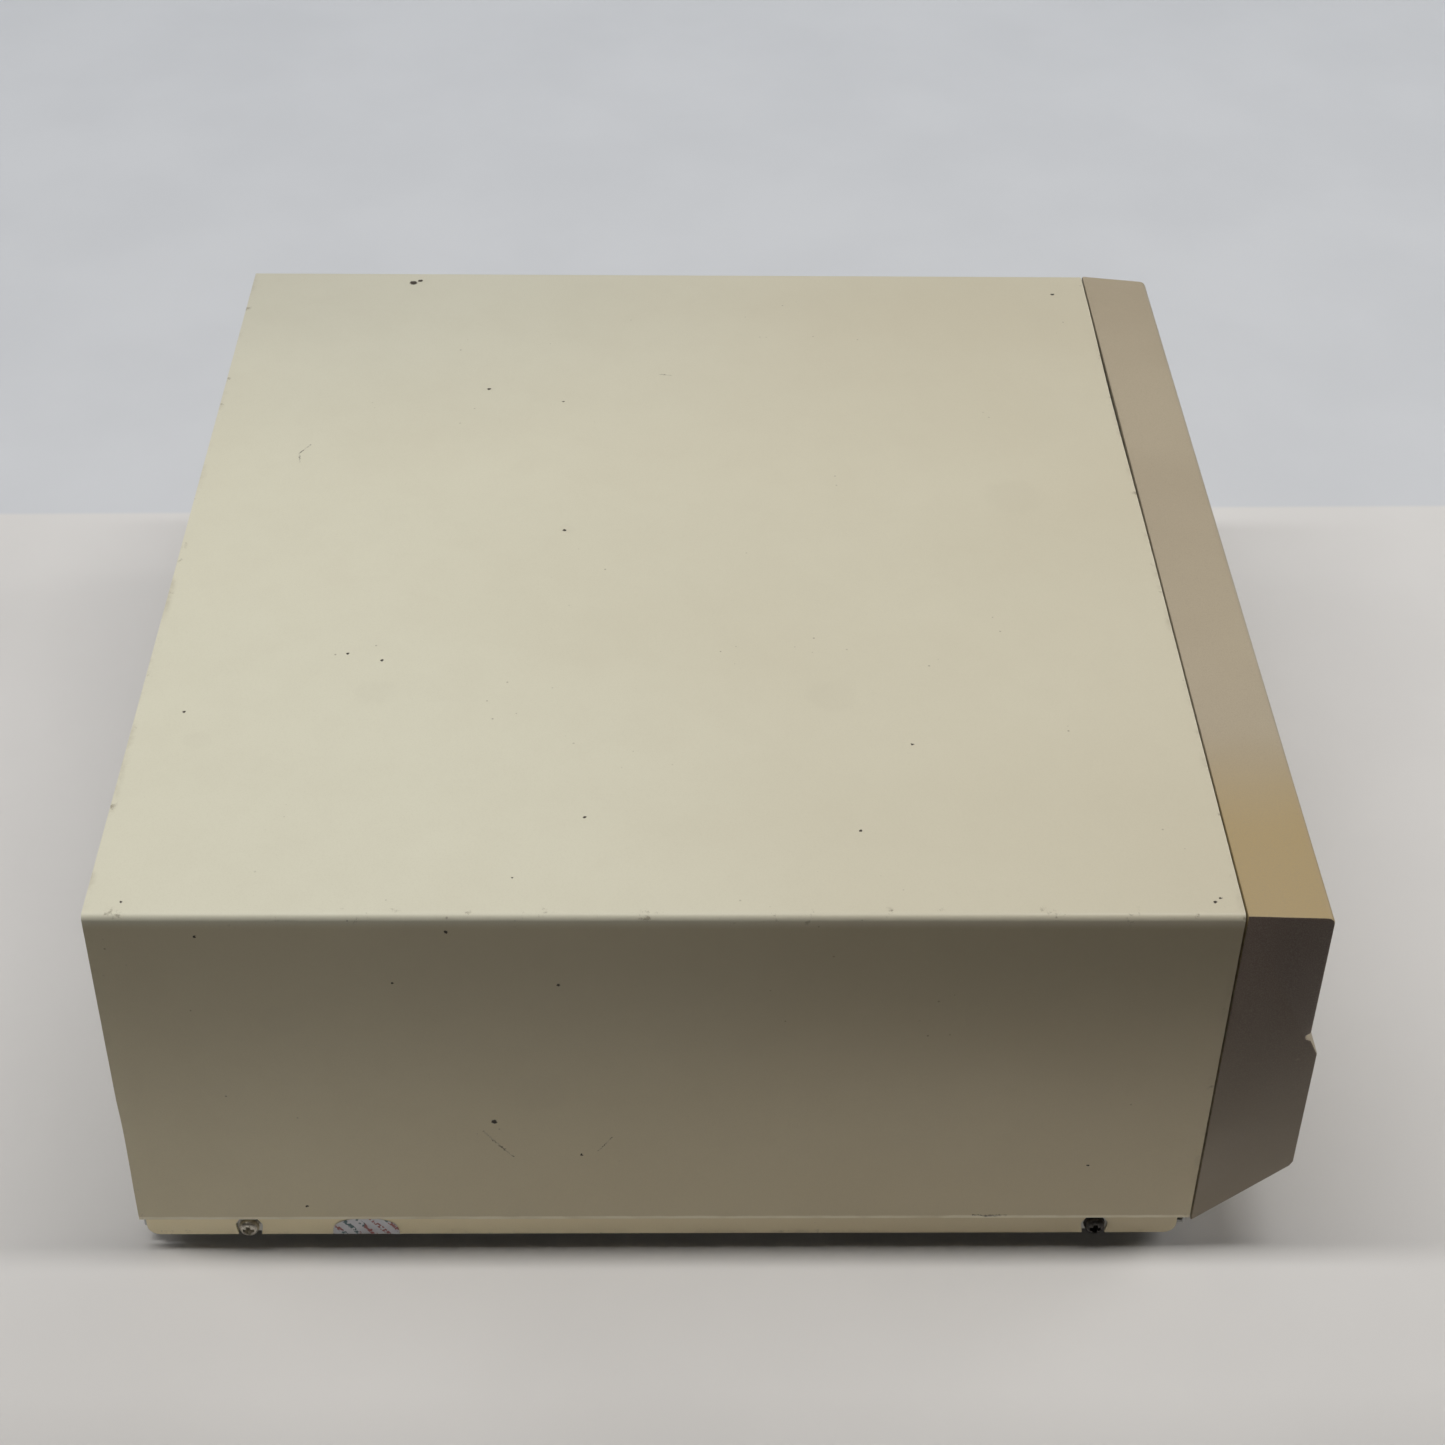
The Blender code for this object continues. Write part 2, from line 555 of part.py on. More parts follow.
def make_large_floppy(m):
    """The 5.25-inch drive: casting, faceplate with its slot, and the lever that clamps the disk."""
    face_y = (UPPER_FACE_Y - 0.0004, UPPER_FACE_Y + 0.0050)
    plate = block("floppy_525_faceplate", BAY_X, face_y, UPPER_BAY_Z, m["black_plastic"])
    soften(plate, 0.0006)
    through = (face_y[0] - 0.001, face_y[1] + 0.001)
    slot_z = around(SLOT_Z, 0.0052)
    carve(plate, block("faceplate_slot", DISK_X, through, slot_z))
    carve(plate, block("finger_notch", around(0.1110, 0.0220), through, (SLOT_Z - 0.0100, SLOT_Z)))
    carve(plate, prism("lever_hole", circle(LEVER_AT, 0.0036, 16), "Y", *through))
    body_y = (face_y[1] + GAP, face_y[1] + 0.2030)
    body = block("floppy_525_drive", DRIVE_X, body_y, (UPPER_BAY_Z[0] + 0.0004, UPPER_BAY_Z[1] - 0.0004),
                 m["drive_casting"])
    well = (SLOT_Z - 0.0026, SLOT_Z + 0.0026)
    carve(body, block("disk_well", DISK_X, (body_y[0] - 0.001, body_y[0] + 0.1400), well))
    carve(body, block("lever_well", around(LEVER_AT[0], 0.0100), (body_y[0] - 0.001, body_y[0] + 0.0060),
                      around(LEVER_AT[1], 0.0100)))
    recess_z = (UPPER_BAY_Z[1] - 0.0060, UPPER_BAY_Z[1] + 0.001)
    carve(body, block("drive_top_recess", (DRIVE_X[0] + 0.010, DRIVE_X[1] - 0.010),
                      (body_y[1] - 0.0700, body_y[1] - 0.0100), recess_z))
    pivot = (LEVER_AT[0], face_y[0], LEVER_AT[1])
    shaft = [(-0.0080, 0.0030), (0.0003, 0.0030), (0.0003, 0.0062), (0.0022, 0.0058)]
    lever = turned("floppy_525_lever", shaft, pivot, (0, -1, 0), 20, m["black_plastic"])
    outline = round_rectangle((pivot[0] - 0.0040, pivot[0] + 0.0260), around(pivot[2], 0.0066), 0.0030)
    arm = prism("lever_arm", outline, "Y", pivot[1] - 0.0027, pivot[1] - 0.0006)
    put_origin(lever, pivot)
    fuse(lever, arm)


def make_small_floppy(m):
    """The 3.5-inch drive in its bay surround: casting, faceplate, flap and eject button."""
    face_y = (LOWER_FACE_Y + 0.0027, LOWER_FACE_Y + 0.0070)
    through = (face_y[0] - 0.002, face_y[1] + 0.002)
    surround_y = (LOWER_FACE_Y + 0.0006, LOWER_FACE_Y + 0.0066)
    surround = block("floppy_35_surround", BAY_X, surround_y, LOWER_BAY_Z, m["bezel_plastic"])
    soften(surround, 0.0006)
    wide_x = (SMALL_DRIVE_X[0] - 0.0004, SMALL_DRIVE_X[1] + 0.0004)
    wide_z = (SMALL_DRIVE_Z[0] - 0.0004, SMALL_DRIVE_Z[1] + 0.0004)
    carve(surround, block("surround_window", wide_x, (through[0] - 0.002, through[1]), wide_z))
    plate = block("floppy_35_faceplate", SMALL_DRIVE_X, face_y, SMALL_DRIVE_Z, m["beige_plastic"])
    soften(plate, 0.0005)
    carve(plate, block("small_slot", SMALL_SLOT_X, through, SMALL_SLOT_Z))
    carve(plate, block("eject_hole", around(EJECT_AT[0], 0.0126), through, around(EJECT_AT[1], 0.0066)))
    body_y = (face_y[1] + GAP, face_y[1] + 0.1450)
    body_z = (SMALL_DRIVE_Z[0] + 0.0003, SMALL_DRIVE_Z[1] - 0.0003)
    body = block("floppy_35_drive", SMALL_DRIVE_X, body_y, body_z, m["drive_casting"])
    carve(body, block("small_well", SMALL_SLOT_X, (body_y[0] - 0.001, body_y[0] + 0.0950),
                      (SMALL_SLOT_Z[0] - 0.0006, SMALL_SLOT_Z[1] + 0.0006)))
    carve(body, block("eject_well", around(EJECT_AT[0], 0.0126), (body_y[0] - 0.001, body_y[0] + 0.0110),
                      around(EJECT_AT[1], 0.0066)))
    flap_top = SMALL_SLOT_Z[1] - 0.0003
    flap_x = (SMALL_SLOT_X[0] + 0.0004, SMALL_SLOT_X[1] - 0.0004)
    flap = block("floppy_35_flap", flap_x, (face_y[0] + 0.0012, face_y[0] + 0.0020),
                 (SMALL_SLOT_Z[0] + 0.0005, flap_top), m["beige_plastic"])
    put_origin(flap, (0.1360, face_y[0] + 0.0016, flap_top - 0.0004))
    button_at = (EJECT_AT[0], face_y[0], EJECT_AT[1])
    button_y = (face_y[0] - 0.0026, face_y[1] + 0.0060)
    button = block("floppy_35_eject_button", around(EJECT_AT[0], 0.0118), button_y, around(EJECT_AT[1], 0.0058),
                   m["beige_plastic"])
    soften(button, 0.0006)
    put_origin(button, button_at)


def make_hard_drive(finish):
    x, y, z = (0.0850, 0.1866), (-0.1500, -0.0040), (0.0110, 0.0500)
    drive = block("hard_drive", x, y, z, finish)
    soften(drive, 0.0012)
    carve(drive, block("drive_waist", (x[0] - 0.001, x[1] + 0.001), (y[0] + 0.0080, y[1] - 0.0080),
                       (z[0] - 0.001, z[0] + 0.0060)))
    outline = round_rectangle((x[0] + 0.004, x[1] - 0.004), (y[0] + 0.004, y[1] - 0.004), 0.0080)
    fuse(drive, prism("drive_lid", outline, "Z", z[1] - 0.0005, z[1] + 0.0015))


# ---------------------------------------------------------------- power supply

def grille_cutter(y):
    """The gaps of the stamped fan grille: three rings, each held by four spokes."""
    cuts = bmesh.new()
    spoke = 0.0022
    for inner, outer in ((0.0080, 0.0155), (0.0180, 0.0255), (0.0280, 0.0365)):
        for quarter in range(4):
            start, end = 90 * quarter, 90 * quarter + 90
            lean_in, lean_out = (math.degrees(spoke / radius) for radius in (inner, outer))
            ring = arc(FAN_AT, outer, start + lean_out, end - lean_out, 7)
            ring += arc(FAN_AT, inner, end - lean_in, start + lean_in, 5)
            add_prism(cuts, ring, "Y", *y)
    return mesh_object("grille_gaps", cuts)


def make_supply_case(finish):
    """Two folded pieces: the base with its front and rear walls, and the lid with its two sides over it."""
    (left, right), (front, rear), (low, high) = SUPPLY_X, SUPPLY_Y, SUPPLY_Z
    fold = SHEET + GAP
    base = block("power_supply_base", (left + fold, right - fold), (front, rear), (low, high - fold), finish)
    carve(base, block("base_hollow", (left, right), (front + SHEET, rear - SHEET), (low + SHEET, high)))
    rear_wall, front_wall = (rear - 0.0030, rear + 0.0010), (front - 0.0010, front + 0.0030)
    openings = [(around(INLET_AT[0], 0.0278), rear_wall, around(INLET_AT[1], 0.0206)),
                (around(SWITCH_AT[0], 0.0258), rear_wall, around(SWITCH_AT[1], 0.0194)),
                (around(SELECTOR_AT[0], 0.0150), rear_wall, around(SELECTOR_AT[1], 0.0080)),
                (around(0.1850, 0.0120), front_wall, around(0.0900, 0.0120))]
    openings += [((0.0660 + 0.0220 * n, 0.0770 + 0.0220 * n), front_wall, (0.0850, 0.1310)) for n in range(5)]
    carve(base, grille_cutter(rear_wall), blocks("base_openings", openings))

    lid = block("power_supply_lid", (left, right), (front, rear), (low, high), finish)
    carve(lid, block("lid_hollow", (left + SHEET, right - SHEET), (front - 0.001, rear + 0.001),
                     (low - 0.001, high - SHEET)))
    side_wall = (left - 0.0010, left + 0.0030)
    slots = [(side_wall, (0.0700 + 0.0120 * n, 0.0750 + 0.0120 * n), (0.0600, 0.1200)) for n in range(8)]
    return carve(lid, blocks("lid_slots", slots))


def make_supply_board(finish):
    """The supply's own circuit board, with its transformer, capacitors and two heat sinks."""
    z = SUPPLY_Z[0] + 0.0080
    board = block("power_supply_board", (0.0600, 0.2060), (0.0580, 0.1690), (z, z + 0.0016), finish)
    base = z + 0.0010
    sinks = [(x, (0.0680, 0.1420), (base, base + 0.0550)) for x in ((0.0830, 0.0860), (0.1500, 0.1530))]
    fuse(board, blocks("heat_sinks", sinks + [((0.0960, 0.1400), (0.0800, 0.1180), (base, base + 0.0350))]))
    cans = bmesh.new()
    for x, y in ((0.1700, 0.0850), (0.1700, 0.1160)):
        add_prism(cans, circle((x, y), 0.0120, 12), "Z", base, base + 0.0380)
    return fuse(board, mesh_object("capacitors", cans))


def make_fan(m):
    x, z = FAN_AT
    back = SUPPLY_Y[1] - SHEET - GAP
    frame_y = (back - 0.0250, back)
    half = FAN_SIDE / 2
    outline = round_rectangle((x - half, x + half), (z - half, z + half), 0.0040)
    frame = prism("fan_frame", outline, "Y", *frame_y, m["black_plastic"])
    through = (frame_y[0] - 0.001, frame_y[1] + 0.001)
    carve(frame, prism("fan_duct", circle(FAN_AT, 0.0380, 28), "Y", *through))
    seat_y = (frame_y[0] - 0.0002, frame_y[0] + 0.0034)
    level_y, upright_y = (frame_y[0], frame_y[0] + 0.0030), (frame_y[0] + 0.0002, frame_y[0] + 0.0032)
    fuse(frame, block("fan_strut_level", around(x, 0.0770), level_y, around(z, 0.0040)))
    fuse(frame, block("fan_strut_upright", around(x, 0.0040), upright_y, around(z, 0.0770)))
    fuse(frame, prism("motor_seat", circle(FAN_AT, 0.0160, 20), "Y", *seat_y))
    centre = (x, frame_y[0] + 0.0135, z)
    hub = [(-0.0090, 0.0150), (0.0075, 0.0150), (0.0090, 0.0135)]
    rotor = turned("fan_rotor", hub, centre, (0, 1, 0), 20, m["black_plastic"])
    put_origin(rotor, centre)
    blades = bmesh.new()
    count, pitch = 7, math.radians(35)
    for n in range(count):
        turn = Matrix.Rotation(2 * math.pi * n / count, 4, "Y") @ Matrix.Translation((0.0245, 0, 0))
        blade = Matrix.Translation(centre) @ turn @ Matrix.Rotation(pitch, 4, "X")
        bmesh.ops.create_cube(blades, size=1.0, matrix=blade @ Matrix.Diagonal((0.0240, 0.0012, 0.0150, 1)))
    fuse(rotor, mesh_object("fan_blades", blades))


def make_supply_fittings(m):
    """The mains inlet, the rocker switch in its housing, and the voltage selector, on the rear wall."""
    wall = SUPPLY_Y[1]
    x, z = INLET_AT
    outline = round_rectangle(around(x, 0.0310), around(z, 0.0240), 0.0030)
    inlet = prism("mains_inlet", outline, "Y", wall + GAP, wall + 0.0028, m["black_plastic"])
    fuse(inlet, block("inlet_body", around(x, 0.0270), (wall - 0.0180, wall + 0.0010), around(z, 0.0198)))
    carve(inlet, block("inlet_well", around(x, 0.0240), (wall - 0.0150, wall + 0.0040), around(z, 0.0168)))
    pins = [(around(x + dx, 0.0020), (wall - 0.0160, wall - 0.0005), around(z + dz, 0.0040))
            for dx, dz in ((-0.0070, -0.0010), (0.0, 0.0020), (0.0070, -0.0010))]
    fuse(inlet, blocks("inlet_pins", pins))

    x, z = SWITCH_AT
    outline = round_rectangle(around(x, 0.0300), around(z, 0.0230), 0.0015)
    housing = prism("power_switch_housing", outline, "Y", wall + GAP, wall + 0.0022, m["black_plastic"])
    body_y, well_y = (wall - 0.0220, wall + 0.0010), (wall - 0.0160, wall + 0.0040)
    fuse(housing, block("switch_body", around(x, 0.0250), body_y, around(z, 0.0186)))
    carve(housing, block("switch_well", around(x, 0.0224), well_y, around(z, 0.0160)))
    pivot = wall - 0.0030
    half = 0.0062
    rocker = [(wall - 0.0100, z - 0.0030), (wall - 0.0016, z - half), (wall + 0.0002, z - half)]
    rocker += [(wall + 0.0008, z), (wall + 0.0030, z + half - 0.0004), (wall - 0.0005, z + half)]
    rocker += [(wall - 0.0100, z + 0.0030)]
    switch = prism("power_switch", rocker, "X", x - 0.0105, x + 0.0105, m["black_plastic"])
    put_origin(switch, (x, pivot, z))

    x, z = SELECTOR_AT
    housing_y = (wall - 0.0090, wall - 0.0014)
    guide = block("voltage_selector_housing", around(x, 0.0200), housing_y, around(z, 0.0120), m["black_plastic"])
    carve(guide, block("selector_well", around(x, 0.0130), (wall - 0.0070, wall), around(z, 0.0064)))
    slider_y = (wall - 0.0064, wall - 0.0004)
    slider = block("voltage_selector", (x - 0.0060, x + 0.0010), slider_y, around(z, 0.0056), m["red_lens"])
    put_origin(slider, (x - 0.0025, wall - 0.0030, z))


# ---------------------------------------------------------------- motherboard and cards

def memory_x(number):
    return FIRST_MEMORY + MEMORY_PITCH * number


def make_motherboard(m):
    """The main board, with its chips and the bank of memory sockets that are soldered to it."""
    board = block("motherboard", BOARD_X, BOARD_Y, BOARD_Z, m["circuit_board"])
    base, top = BOARD_Z[1] - 0.0003, BOARD_Z[1]
    chips = []
    for row in range(4):
        for column in range(5):
            x = -0.1900 + 0.0260 * column
            y = -0.1180 + 0.0300 * row
            chips.append((around(x, 0.0090), around(y, 0.0240), (base, top + 0.0035)))
    chips += [(around(x, 0.0290), around(y, 0.0290), (base, top + 0.0030))
              for x, y in ((-0.0450, 0.0100), (-0.0450, 0.0550), (-0.0050, 0.1000))]
    chips += [(around(-0.0450, 0.0120), around(0.1050, 0.0360), (base, top + 0.0050)),
              (around(-0.0200, 0.0080), around(0.1500, 0.0560), (base, top + 0.0100)),
              ((memory_x(0) - 0.0060, memory_x(3) + 0.0060), MEMORY_Y, (base, top + 0.0063))]
    fuse(board, blocks("board_chips", chips))
    groove_y, groove_z = (MEMORY_Y[0] + 0.0014, MEMORY_Y[1] - 0.0014), (top + 0.0018, top + 0.0073)
    grooves = [(around(memory_x(n), 0.0022), groove_y, groove_z) for n in range(4)]
    return carve(board, blocks("memory_grooves", grooves))


def make_processor(finish):
    z = BOARD_Z[1] + GAP
    chip = block("processor", around(-0.0080, 0.0440), around(0.0320, 0.0440), (z, z + 0.0040), finish)
    soften(chip, 0.0006, 1)
    lid_z = (z + 0.0030, z + 0.0050)
    return fuse(chip, block("chip_lid", around(-0.0080, 0.0240), around(0.0320, 0.0240), lid_z))


def make_memory(finish):
    z = BOARD_Z[1] + GAP
    for n in range(2):
        x = memory_x(n)
        module_y = (MEMORY_Y[0] + 0.0018, MEMORY_Y[1] - 0.0018)
        module = block(f"memory_module_{n + 1}", around(x, 0.0013), module_y, (z + 0.0020, z + 0.0210), finish)
        starts = [MEMORY_Y[0] + 0.0060 + 0.0092 * c for c in range(9)]
        chips = [((x - 0.0002, x + 0.0030), (y, y + 0.0074), (z + 0.0075, z + 0.0185)) for y in starts]
        fuse(module, blocks("memory_chips", chips))


def make_expansion_slots(finish):
    z = BOARD_Z[1] + GAP
    for n in range(SLOT_COUNT):
        x = slot_x(n)
        socket = block(f"expansion_slot_{n + 1}", around(x, 0.0086), SOCKET_Y, (z, z + 0.0112), finish)
        carve(socket, block("slot_groove", around(x, 0.0024), (SOCKET_Y[0] + 0.0030, SOCKET_Y[1] - 0.0030),
                            (z + 0.0030, z + 0.0120)))


def make_bracket(name, x, finish, socket_z=()):
    """A card bracket or blank slot cover: plate, inner tab, and the D-shells that stand out of it."""
    plate = block(name, around(x, 0.0184), BRACKET_Y, (0.0170, BRACKET_TOP), finish)
    tab_y = (BRACKET_Y[0] - 0.0112, BRACKET_Y[0] + 0.0005)
    fuse(plate, block(name + "_tab", (x - 0.0092, x + 0.0090), tab_y, (BRACKET_TOP - SHEET, BRACKET_TOP)))
    for i, (low, high) in enumerate(socket_z):
        middle, half = (low + high) / 2, (high - low) / 2
        shell = [(x - 0.0041, middle - half), (x + 0.0041, middle - half + 0.0012),
                 (x + 0.0041, middle + half - 0.0012), (x - 0.0041, middle + half)]
        inner = [(x + (px - x) * 0.84, middle + (pz - middle) * 0.95) for px, pz in shell]
        fuse(plate, prism(f"{name}_shell_{i}", shell, "Y", BRACKET_Y[0] - 0.0060, DEPTH / 2))
        carve(plate, prism(f"{name}_mouth_{i}", inner, "Y", BRACKET_Y[1] + 0.0010, DEPTH / 2 + 0.001))
    return plate


def make_card(name, x, length, chips, finish):
    """A circuit card standing in its slot: outline with the edge connector, and chips on one face."""
    rear, front = BRACKET_Y[0] - 0.0008, BRACKET_Y[0] - length
    lower, edge = BOARD_Z[1] + 0.0130, BOARD_Z[1] + 0.0045
    tongue = (SOCKET_Y[0] + 0.0038, SOCKET_Y[1] - 0.0038)
    outline = [(rear - 0.0070, lower), (tongue[1], lower), (tongue[1], edge), (tongue[0], edge)]
    outline += [(tongue[0], lower), (front, lower), (front, 0.1220), (rear - 0.0070, 0.1220)]
    card = prism(name, outline, "X", x - 0.0008, x + 0.0008, finish)
    parts = [((x + 0.0006, x + 0.0040), (y, y + long), (z, z + tall)) for y, z, long, tall in chips]
    return fuse(card, blocks(name + "_chips", parts))


def make_cards(m):
    make_bracket("video_card_bracket", slot_x(1), m["bright_screw"], [(0.0700, 0.0870)])
    make_card("video_card", slot_x(1), 0.1700,
              [(0.060 + 0.034 * i, 0.040 + 0.024 * j, 0.024, 0.0090) for i in range(4) for j in range(3)],
              m["circuit_board"])
    sockets = [(0.0340, 0.0729), (0.0900, 0.1069)]
    make_bracket("controller_card_bracket", slot_x(3), m["bright_screw"], sockets)
    make_card("controller_card", slot_x(3), 0.1600,
              [(0.060, 0.050, 0.028, 0.028), (0.100, 0.050, 0.028, 0.028), (0.145, 0.060, 0.024, 0.009),
               (0.060, 0.092, 0.024, 0.009), (0.095, 0.092, 0.024, 0.009), (0.145, 0.085, 0.024, 0.009)],
              m["circuit_board"])
    for n in (0, 2, 4):
        make_bracket(f"slot_cover_{n + 1}", slot_x(n), m["chassis_steel"])


def make_board_fittings(m):
    x, z = KEYBOARD_AT
    socket = block("keyboard_socket", around(x, 0.0190), (BOARD_Y[1] - 0.0180, PANEL_INNER - 0.0008),
                   (BOARD_Z[1] + GAP, BOARD_Z[1] + 0.0200), m["black_plastic"])
    ring_y, mouth_y = (PANEL_INNER - 0.0020, PANEL_BACK + 0.0010), (PANEL_INNER - 0.0080, PANEL_BACK + 0.0020)
    fuse(socket, prism("socket_ring", circle(KEYBOARD_AT, 0.0085, 20), "Y", *ring_y))
    carve(socket, prism("socket_mouth", circle(KEYBOARD_AT, 0.0070, 20), "Y", *mouth_y))
    turned("clock_battery", [(-0.0160, 0.0070), (0.0150, 0.0070), (0.0150, 0.0030), (0.0165, 0.0030)],
           (-0.0500, -0.1100, BOARD_Z[1] + 0.0074), (0, 1, 0), 16, m["seal_foil"])
    cone = [(0.0, 0.0285), (0.0030, 0.0285), (0.0120, 0.0160), (0.0120, 0.0140), (0.0180, 0.0140)]
    speaker_at = (0.0200, FRAME_FRONT + SHEET + GAP, 0.0700)
    speaker = turned("speaker", cone, speaker_at, (0, 1, 0), 24, m["black_plastic"])
    bowl = [(-0.0010, 0.0265), (0.0010, 0.0255), (0.0080, 0.0100)]
    carve(speaker, turned("speaker_bowl", bowl, speaker_at, (0, 1, 0), 24))


# ---------------------------------------------------------------- cables inside the case

def smooth_path(points, steps):
    """Points along a Catmull-Rom curve through the given plan points."""
    path = []
    ends = [points[0]] + points + [points[-1]]
    for a, b, c, d in zip(ends, ends[1:], ends[2:], ends[3:]):
        for i in range(steps):
            t = i / steps
            weights = (-t + 2 * t ** 2 - t ** 3, 2 - 5 * t ** 2 + 3 * t ** 3,
                       t + 4 * t ** 2 - 3 * t ** 3, t ** 3 - t ** 2)
            path.append(tuple(sum(w * v for w, v in zip(weights, place)) / 2 for place in zip(a, b, c, d)))
    return path + [points[-1]]


def make_ribbon(name, plan, z, finish):
    """A flat cable standing on edge, along a curve seen from above."""
    thickness = 0.0010
    path = smooth_path(plan, 5)
    left, right = [], []
    for i, (x, y) in enumerate(path):
        ahead, behind = path[min(i + 1, len(path) - 1)], path[max(i - 1, 0)]
        dx, dy = ahead[0] - behind[0], ahead[1] - behind[1]
        size = math.hypot(dx, dy)
        nx, ny = -dy / size * thickness / 2, dx / size * thickness / 2
        left.append((x + nx, y + ny))
        right.append((x - nx, y - ny))
    return prism(name, left + right[::-1], "Z", *z, finish)


def make_cables(m):
    card_x, card_front = slot_x(3), BRACKET_Y[0] - 0.1600 - 0.0015
    to_floppy = [(card_x, card_front), (card_x + 0.012, 0.0220), (-0.0300, 0.0160), (0.0350, 0.0280)]
    to_floppy += [(0.0700, 0.0400), (0.1150, 0.0380), (0.1340, 0.0240), (0.1360, 0.0045)]
    make_ribbon("floppy_ribbon", to_floppy, (0.1180, 0.1500), m["cable_grey"])
    to_disk = [(card_x, card_front), (card_x + 0.012, 0.0180), (-0.0300, 0.0100), (0.0350, 0.0240)]
    to_disk += [(0.0700, 0.0380), (0.1100, 0.0360), (0.1260, 0.0200), (0.1280, -0.0030)]
    make_ribbon("disk_ribbon", to_disk, (0.0330, 0.0500), m["cable_grey"])
    data = bpy.data.curves.new("power_loom", "CURVE")
    data.dimensions = "3D"
    data.bevel_depth = 0.0035
    data.bevel_resolution = 1
    data.use_fill_caps = True
    route = smooth_path([(0.1850, 0.0516, 0.0900), (0.1850, 0.0440, 0.0880), (0.1850, 0.0400, 0.0740),
                         (0.1850, 0.0390, 0.0560), (0.1820, 0.0320, 0.0400), (0.1760, 0.0160, 0.0330),
                         (0.1740, -0.0034, 0.0320)], 3)
    spline = data.splines.new("POLY")
    spline.points.add(len(route) - 1)
    for point, place in zip(spline.points, route):
        point.co = (*place, 1.0)
    data.materials.append(m["cable_grey"])
    bpy.context.scene.collection.objects.link(bpy.data.objects.new("power_loom", data))


def main():
    clear_scene()
    m = make_materials()
    make_top_cover(m["cover_paint"])
    make_cover_screws(m["bright_screw"], m["dark_screw"])
    make_tamper_seal(m["seal_foil"])
    make_chassis_tray(m["chassis_steel"])
    make_front_frame(m["chassis_steel"])
    make_rear_panel(m["chassis_steel"])
    make_drive_cage(m["chassis_steel"])
    make_feet(m["foot_rubber"])
    make_front_bezel(m["bezel_plastic"])
    make_front_controls(m)
    make_large_floppy(m)
    make_small_floppy(m)
    make_hard_drive(m["drive_casting"])
    make_supply_case(m["chassis_steel"])
    make_supply_board(m["circuit_board"])
    make_fan(m)
    make_supply_fittings(m)
    make_motherboard(m)
    make_processor(m["black_plastic"])
    make_memory(m["circuit_board"])
    make_expansion_slots(m["black_plastic"])
    make_cards(m)
    make_board_fittings(m)
    make_cables(m)


main()
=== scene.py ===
"""Looks of a desktop computer system unit of the late 1980s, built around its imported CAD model.

Metres, in the model's own frame: +Z is up, the bezel faces -Y, and the cover's left side faces -X. Places on
the cover are in millimetres from its rear edge, and from its left side or up from the fold over its lip.
"""

import json
import math

import bmesh
import bpy
from mathutils import Matrix, Vector


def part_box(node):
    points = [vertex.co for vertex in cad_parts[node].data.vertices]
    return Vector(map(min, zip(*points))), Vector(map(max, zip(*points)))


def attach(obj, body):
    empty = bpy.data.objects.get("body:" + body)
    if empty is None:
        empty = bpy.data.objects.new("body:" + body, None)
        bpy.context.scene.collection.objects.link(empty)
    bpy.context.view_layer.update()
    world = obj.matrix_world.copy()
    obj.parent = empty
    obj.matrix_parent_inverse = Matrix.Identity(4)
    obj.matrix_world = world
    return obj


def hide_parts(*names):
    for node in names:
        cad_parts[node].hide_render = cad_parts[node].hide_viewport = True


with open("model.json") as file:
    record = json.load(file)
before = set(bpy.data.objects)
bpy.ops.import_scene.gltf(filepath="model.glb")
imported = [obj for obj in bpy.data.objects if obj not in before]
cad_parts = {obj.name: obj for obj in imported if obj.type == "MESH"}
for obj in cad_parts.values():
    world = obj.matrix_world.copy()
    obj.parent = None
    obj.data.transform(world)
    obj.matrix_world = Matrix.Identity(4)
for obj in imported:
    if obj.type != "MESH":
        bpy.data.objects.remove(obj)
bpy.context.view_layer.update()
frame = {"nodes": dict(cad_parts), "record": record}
NODES = frame["nodes"]

MM = 0.001
COVER_LOW, COVER_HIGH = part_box("top_cover")
LIP_HEIGHT = 0.0095
LEFT, REAR, TOP = COVER_LOW.x, COVER_HIGH.y, COVER_HIGH.z
FOLD = COVER_LOW.z + LIP_HEIGHT

# Camera: a normal lens from the left and above, a little turned and tilted
CAMERA_AT = (-0.8292, 0.0116, 0.7245)
CAMERA_DOWN = 38.19               # degrees below the horizon
CAMERA_TURN = -1.36               # from looking along +X
CAMERA_ROLL = 0.93
LENS, SENSOR = 63.2, 36.0

# Stage
TABLE_EDGE = 0.267                # where the pale table gives way to the bluish ground behind it
TABLE_EDGE_TURN = math.radians(0.9)


# ------------ shaders

